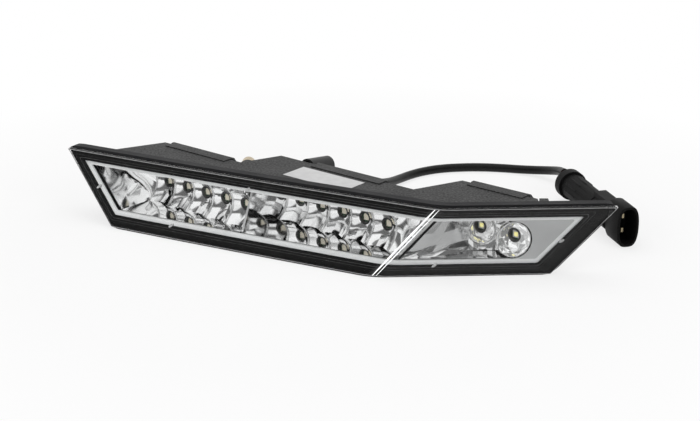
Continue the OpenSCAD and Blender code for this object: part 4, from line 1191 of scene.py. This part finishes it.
turns = [t / 28 for t in range(28, 0, -1)]
pocket = [left_pocket_column(t) for t in turns]
scoops = scoop_columns(LEFT)
back = [back_of(LEFT, c, -t, 1 - t) for c, t in zip(pocket, turns)] + [back_of(LEFT, c, 0, 1) for c in scoops]
left_tray = make_tray("reflector_left_fine", LEFT, pocket + scoops, back, "reflector_left")
print("left tray faces:", len(left_tray.data.polygons))

# %% [markdown]
# ## The middle tray
# The second tray starts beside the first one's last scoop and runs to the crease. It is
# made in the same way, and could be a copy, but both of its ends differ: a short pocket
# on the left, and on the right a wall that bends forward to meet the crease.

# %% Middle tray between pocket and crease
POCKET_Q, POCKET_TOP, CREASE_S = -48.4, (-47.4, -2), 4
BEND_Q, BEND_Y = 8, -1


def middle_pocket_column(t):
    wall = []
    for z in levels:
        start = scoop_point(MIDDLE, -ROW_END, led_q(0), z)
        wall.append(curl(start, (*POCKET_TOP, z), (POCKET_Q, front_y(MIDDLE, POCKET_Q, z, WALL_FRONT), z), t))
    return column(MIDDLE, wall)


def crease_column(t):
    wall = []
    for z in levels:
        start = scoop_point(MIDDLE, ROW_END, led_q(LEDS - 1), z)
        eq, ey = to_row(MIDDLE, face_mm(CREASE_S, z, WALL_FRONT))
        wall.append(curl(start, (ROW_END + BEND_Q, BEND_Y, z), (eq, ey, z), t))
    return column(MIDDLE, wall)


pocket = [middle_pocket_column(t) for t in turns]
scoops = scoop_columns(MIDDLE)
closing = [crease_column(t) for t in reversed(turns)]
back = [back_of(MIDDLE, c, -t, 1 - t) for c, t in zip(pocket, turns)]
back += [back_of(MIDDLE, c, 0, 1) for c in scoops]
back += [back_of(MIDDLE, c, 0.8 * t, 1) for c, t in zip(closing, reversed(turns))]
front = pocket + scoops + closing
middle_tray = make_tray("reflector_middle_fine", MIDDLE, front, back, "reflector_middle")
print("middle tray faces:", len(middle_tray.data.polygons))

# %% [markdown]
# ## Lines along the crease
# Two thin ribs run up the bent part of the lens. They show as fine white lines across the
# black frame and the window: a painted highlight, where light is caught along the crease.
# A plain rib of clear plastic vanishes at this size, so these have a pale frosted colour and
# a faint painted glow, which stand in for that highlight.

# %% Frosted finish with a painted highlight
RIB_PAINTED_GLOW = 0.45

# The pale base colour and the glow of the ribs are a painted highlight along the crease.
rib_painted_highlight, tree, output = new_material("rib_painted_highlight")
haze = noise_in(tree, 500.0, 2.0)
rib_highlight_paint = add(tree, "ShaderNodeBsdfPrincipled", {
    "Base Color": mix_color(tree, haze, (0.95, 0.95, 0.96, 1), grey(0.99)), "Roughness": 0.35,
    "Emission Color": mix_color(tree, haze, (0.8, 0.8, 0.82, 1), grey(1)), "Emission Strength": RIB_PAINTED_GLOW,
})
tree.links.new(rib_highlight_paint.outputs[0], output.inputs[0])
print("finish:", rib_painted_highlight.name)

# %% Crease ribs
CREASE_RIBS = [(-1.3, -2.2, 0.75), (1.1, 0.4, 0.4)]
RIB_END, RIB_RISE, RIB_SINK = 0.9, 0.22, 0.3
ACROSS = (-1, -0.8, -0.4, 0, 0.4, 0.8, 1)


def rib_mesh(s_low, s_high, half):
    front, back = [], []
    for t in spread(0, 1, 40):
        v, mid = RIB_END + (FACE_H - 2 * RIB_END) * t, s_low + (s_high - s_low) * t
        thin = math.sin(math.pi * (t * 0.96 + 0.02)) ** 0.35
        top = [0.01 - RIB_RISE * thin * math.sqrt(1 - c * c) for c in ACROSS]
        front.append([(mid + half * c * thin, v, w) for c, w in zip(ACROSS, top)])
        back.append([(mid + half * c * thin, v, RIB_SINK) for c in ACROSS])
    return sheet_mesh(front, back, face)


for number, line in enumerate(CREASE_RIBS):
    make_piece(f"crease_rib_{number}", rib_mesh(*line), "clear_lens", ["lens"], finish=rib_painted_highlight)
print("crease ribs:", len(CREASE_RIBS))

# %% [markdown]
# ## Fine lines on the lens and the frame
# The lens's rounded edge and the steps of the frame each catch a thin line of light. At
# the size of the picture, a reflection that thin comes and goes with every pixel. So the
# lines are narrow rings painted paler, as a painted highlight, made from the same outline
# as the frame.

# %% Edge line and step lines, painted highlights
STEP_LINES, STEP_W = (-3.4, -1.95), 0.3
edge_painted_highlight = grain("edge_line", grey(0.3), grey(0.42), 200, 0.2, 0.3, bump=0.02)
step_painted_highlight = grain("step_line", grey(0.06), grey(0.1), 200, 0.2, 0.3, bump=0.02)


def thin_ring(base, near, far, w, thick, run):
    mid = (near + far) / 2
    return ring_mesh([
        (inset_from(base, near), w + thick, run), (inset_from(base, mid), w, run),
        (inset_from(base, far), w + thick, run), (inset_from(base, mid), w + thick * 1.3, run),
    ])


edge_shape = thin_ring(EDGE, 0.45, 0.85, 0.12, 0.15, CORNER_RUN)
make_piece("lens_edge_line", edge_shape, "clear_lens", ["lens"], finish=edge_painted_highlight)
for number, near in enumerate(STEP_LINES):
    step_shape = thin_ring(WINDOW, near, near + STEP_W, FRAME_FRONT - 0.03, 0.06, 5.5 + near)
    make_piece(f"frame_step_line_{number}", step_shape, "black_frame", ["lens_frame"], finish=step_painted_highlight)
print("lines:", 1 + len(STEP_LINES))

# %% [markdown]
# ## Ridges between the scoops
# Where one scoop ends and the next begins, the tray has a rounded ridge. Seen from the
# front the ridges are the bright arcs that give the reflector its louvred look. A finer
# tray could round them itself, but a thin tube along each seam needs far fewer faces, and
# a satin finish keeps the arc bright from every side.

# %% Ridges
RIDGE_R, RIDGE_SIDES, RIDGE_CLEAR = 0.55, 10, 0.4
satin_ridge = coat("satin_ridge", grey(0.92), grey(0.85), 90, 0.22, 0.3, Metallic=0.75, bump=0.02)


def ridge_points(i, k):
    q, near = led_q(0) + (k - 0.5) * PITCH, led_q(min(k, LEDS - 1))
    found = [scoop_point(i, q, near, z) for z in spread(TRAY_Z0 + 0.3, TRAY_Z1 - 0.3, 24)]
    return [row_mm(i, q, y - 0.1, z) for q, y, z in found if y > front_y(i, q, z, WALL_FRONT) + RIDGE_CLEAR]


def ridge_mesh(line):
    made, last = [], len(line) - 1
    for n, p in enumerate(line):
        ahead = (line[min(n + 1, last)] - line[max(n - 1, 0)]).normalized()
        side = ahead.cross(Vector((ROW_BACK.x, ROW_BACK.y, 0))).normalized()
        up = side.cross(ahead)
        thin = RIDGE_R * min(1, 0.35 + 3 * min(n, last - n) / len(line))
        made += [at(*(p + thin * (math.cos(a) * side + math.sin(a) * up))) for a in turns_of(RIDGE_SIDES)]
    return made, tube_faces(len(line), RIDGE_SIDES) + end_caps(len(line), RIDGE_SIDES)


for i, tray in enumerate(("reflector_left", "reflector_middle")):
    for k in range(LEDS + 1):
        shape = ridge_mesh(ridge_points(i, k))
        make_piece(f"{tray}_ridge_{k}", shape, "bright_metallising", [tray], finish=satin_ridge)
print("ridges:", 2 * (LEDS + 1))

# %% [markdown]
# ## LEDs
# The white LEDs are small yellow squares of phosphor on a pale ceramic base. A cube would
# do from afar, but a bevel on its front edges is what makes it read as a part. So each is
# an eight-sided slab with a cut edge. The amber LEDs keep their solids, in a warm grey. The
# yellow phosphor and the warm grey both have a faint painted glow, although the LEDs are off.

# %% White LEDs and unlit amber ones
WHITE_PITCH = 25.8
# The phosphor's Emission_Strength is a painted glow: the white LEDs are off.
chip_painted_glow = grain("phosphor", (0.95, 0.86, 0.3, 1), (0.98, 0.93, 0.5, 1), 900, 0.4, 0.5,
                    bump=0.03, Emission_Strength=0.55)
ceramic = grain("ceramic_base", grey(0.8), grey(0.7), 600, 0.3, 0.4, bump=0.03)
# The warm grey's Emission_Strength is a painted glow: the amber LEDs are off.
amber_painted_glow = grain("unlit_amber_painted_glow", (0.75, 0.7, 0.6, 1), (0.85, 0.78, 0.62, 1), 900, 0.25, 0.35,
                   bump=0.05, Emission_Strength=0.25)


def slab_mesh(q, y0, y1, half, cut):
    points = []
    for h, y in [(half, y0), (half, y1 + cut), (half - cut, y1)]:
        c = h - cut * 1.2
        corners = [(-c, -h), (c, -h), (h, -c), (h, c), (c, h), (-c, h), (-h, c), (-h, -c)]
        points += [at(*row_mm(RIGHT, q + a, y, MID_Z + b)) for a, b in corners]
    return points, tube_faces(3, 8) + end_caps(3, 8)


SLABS = [("base", (2.2, 1.55, 2.5, 0.15), ceramic), ("chip", (1.6, 1.2, 1.35, 0.12), chip_painted_glow)]
for number, q in enumerate((-WHITE_PITCH / 2, WHITE_PITCH / 2)):
    for kind, sizes, finish in SLABS:
        name = f"white_led_{kind}_{number}"
        make_piece(name, slab_mesh(q, *sizes), "led_package", ["white_leds"], finish=finish)
for node in ("amber_leds_left", "amber_leds_middle"):
    wear(nodes[node], amber_painted_glow)
print("white LEDs: 2")

# %% [markdown]
# ## Facetted domes
# Over each amber LED sits a small clear dome, cut into facets that sparkle. An ico sphere
# has facets too, but in the wrong order. Here rings of points are turned by half a step
# from each other, and triangles join them, as on a cut stone.

# %% Domes over the amber LEDs
DOME_R, DOME_SIDES = 3.2, 10
DOME_RINGS = [(1.0, 0.0), (0.96, 0.7), (0.72, 1.6), (0.38, 2.15)]


def cut_faces(rings, sides):
    faces = []
    for r in range(rings - 1):
        for k in range(sides):
            a, b = r * sides + k, r * sides + (k + 1) % sides
            c, d = a + sides, b + sides
            faces += [(a, b, c), (b, d, c)] if r % 2 == 0 else [(a, d, c), (a, b, d)]
    return faces


def dome_mesh(i, q):
    points = []
    for number, (share, out) in enumerate(DOME_RINGS):
        r = DOME_R * share
        for a in turns_of(DOME_SIDES, 0.5 * (number % 2)):
            points.append(at(*row_mm(i, q + r * math.cos(a), 1.0 - out, MID_Z + r * math.sin(a))))
    rings = len(DOME_RINGS)
    return points, cut_faces(rings, DOME_SIDES) + end_caps(rings, DOME_SIDES)


for i, row in enumerate(("left", "middle")):
    for k in range(LEDS):
        dome = dome_mesh(i, led_q(k))
        make_piece(f"led_dome_{row}_{k}", dome, "clear_optic", [f"led_optics_{row}"], smooth=5)
print("domes:", 2 * LEDS)

# %% [markdown]
# ## Facets inside the two cups
# The white LEDs sit in round cups whose walls are cut into many small flat mirrors. The
# solid has the cup's shape with few facets, and it could be replaced as a whole. But the
# rest of it is right, so it stays, in a satin coat, and a thin bright skin with more
# facets lies on it, staggered from ring to ring.

# %% A point on a cup's wall
CUP_A, CUP_A_R = face_mm(49.2, 22.9, 21.2), (8.8, 9.2)
CUP_FOOT, FOOT_R = -0.4, (5.2, 5.2)
satin = coat("satin_metallising", grey(0.95), grey(0.88), 70, 0.07, 0.12, Metallic=1.0, bump=0.03)
wear(nodes["reflector_right"], satin)


def oval_point(mid, turn, r, a):
    p = r[0] * math.sin(a) * along(turn)
    return Vector((mid.x + p.x, mid.y + p.y, mid.z + r[1] * math.cos(a)))


def cup_point(q, rim, r, t, a, off):
    led = row_mm(RIGHT, q, CUP_FOOT, MID_Z)
    start, end = oval_point(led, -AXIS_TURN, FOOT_R, a), oval_point(rim, RIGHT_BACK, r, a)
    mid = (start + end) / 2
    mid = mid + (mid - (led + rim) / 2) * 0.35 + Vector((0, 1.2, 0))
    p = Vector(curl(start, mid, end, t))
    return p + (led + (rim - led) * t - p).normalized() * off


print("first cup at", [round(x, 1) for x in CUP_A])

# %% [markdown]
# ## Skins of the cups
# The skin is a thin shell with a front and a back, and every second point of the front
# stands a little proud. A shiny sheet without thickness would mirror too, but it has no
# real edge. Its faint glow stands for light that goes to and fro between the small
# mirrors, which takes more bounces than are traced.

# %% Cup skins
CUP_STEPS, CUP_SIDES = [0, 0.16, 0.34, 0.54, 0.76, 1], 14
SKIN_FRONT, SKIN_BACK, FACET_BULGE = 0.75, 0.5, 0.35
facet_shine = coat("facet_shine", grey(0.97), grey(0.9), 150, 0.05, 0.1,
                   Metallic=0.9, bump=0.02, Emission_Strength=0.16)


def cup_mesh(q, rim, r):
    points, last = [], len(CUP_STEPS) - 1
    for off in (SKIN_FRONT, SKIN_BACK):
        for j, t in enumerate(CUP_STEPS):
            for k, a in enumerate(turns_of(CUP_SIDES, 0.5 * (j % 2))):
                bulge = 0.0 if j in (0, last) else FACET_BULGE * (k % 2)
                points.append(at(*cup_point(q, rim, r, t, a, off + bulge)))
    size, front = len(points) // 2, cut_faces(last + 1, CUP_SIDES)
    faces = front + [tuple(v + size for v in reversed(f)) for f in front]
    for j in (0, last):
        for k in range(CUP_SIDES):
            a, b = j * CUP_SIDES + k, j * CUP_SIDES + (k + 1) % CUP_SIDES
            faces.append((a, b, b + size, a + size))
    return points, faces


for number, cup in enumerate([(-WHITE_PITCH / 2, CUP_A, CUP_A_R), (WHITE_PITCH / 2, CUP_B, CUP_B_R)]):
    make_piece(f"cup_skin_{number}", cup_mesh(*cup), "bright_metallising", smooth=2, finish=facet_shine)
print("cups: 2")

# %% [markdown]
# ## Facetted wall right of the crease
# Between the crease and the first cup the reflector is cut into flat satin facets. Some
# lean back and look pale, and others lean forward and stay dark. A displaced noise would
# give lumps without edges. So each point of a coarse grid gets a reach of its own, and
# every edge stays sharp. The result lies as a skin on the solid's wall.

# %% Wall facets
WALL_SEAM, WALL_END = 8.6, Vector((60, 20))
SKIN_NEAR, SKIN_FAR = 0.6, 0.3
WALL_SHARES = [0, 0.2, 0.43, 0.68, 1]
WALL_LEVELS = [TRAY_Z0 + 0.2, 13, 17.5, 26, TRAY_Z1 - 0.2]
WALL_REACH = [
    [0, -0.2, -1.2, -0.1, 0], [-0.2, -0.8, -4.2, -0.9, -0.3], [-0.2, -3.2, -2.0, -3.0, -0.5],
    [-0.2, -0.9, -4.4, -1.0, -0.7], [0, -1.6, -1.1, -0.9, 0],
]
facet_satin = coat("facet_satin", grey(0.94), grey(0.86), 70, 0.08, 0.13, Metallic=0.9, bump=0.02)


def wall_rows(depth, reach):
    rows = []
    for share, bumps in zip(WALL_SHARES, WALL_REACH):
        starts = [face_mm(WALL_SEAM, z, WALL_FRONT) for z in WALL_LEVELS]
        rows.append([
            (p.x + (WALL_END.x - p.x) * share, p.y + (WALL_END.y - p.y) * share + reach * bump - depth, z)
            for p, z, bump in zip(starts, WALL_LEVELS, bumps)
        ])
    return rows


def make_facets(name, rows_of):
    shape = sheet_mesh(rows_of(SKIN_NEAR, 1), rows_of(SKIN_FAR, 0), at)
    return make_piece(name, shape, "bright_metallising", smooth=1, finish=facet_satin)


wall_skin = make_facets("facet_skin", wall_rows)
print("wall faces:", len(wall_skin.data.polygons))

# %% [markdown]
# ## Facets below the first cup
# Under the first cup there is a low band of the same facets, and its upper edge follows
# the round rim. The wall's grid could run on here, but it would cross the cup. So the band
# is a second skin, in which the height of each row of points comes from the rim above.

# %% Facets below the first cup
PLATE_START, PLATE_STEP = Vector((60.2, 20)), Vector((18.4, 0.7))
CUP_MID_X, CUP_HALF, CUP_LIP, PLATE_ROOF = 69.2, 9.4, 1.04, 18
PLATE_REACH = [
    (0, -0.5, 0), (-0.4, -2.6, -0.3), (-0.2, -1.2, -0.5), (-1.0, -3.0, -0.3), (-0.2, -1.4, -0.6),
    (-0.5, -2.6, -0.3), (0, -0.5, 0),
]


def plate_facet_rows(depth, reach):
    rows = []
    for share, bumps in zip(spread(0, 1, len(PLATE_REACH) - 1), PLATE_REACH):
        x, y = PLATE_START + PLATE_STEP * share
        arch = math.sqrt(max(0.0, 1 - ((x - CUP_MID_X) / CUP_HALF) ** 2))
        top = CUP_A.z - CUP_A_R[1] * CUP_LIP * arch
        heights = [TRAY_Z0 + 0.2, (TRAY_Z0 + top) / 2, min(top, PLATE_ROOF)]
        rows.append([(x, y + reach * bump - depth, z) for z, bump in zip(heights, bumps)])
    return rows


below_cup = make_facets("plate_skin", plate_facet_rows)
print("faces below the cup:", len(below_cup.data.polygons))
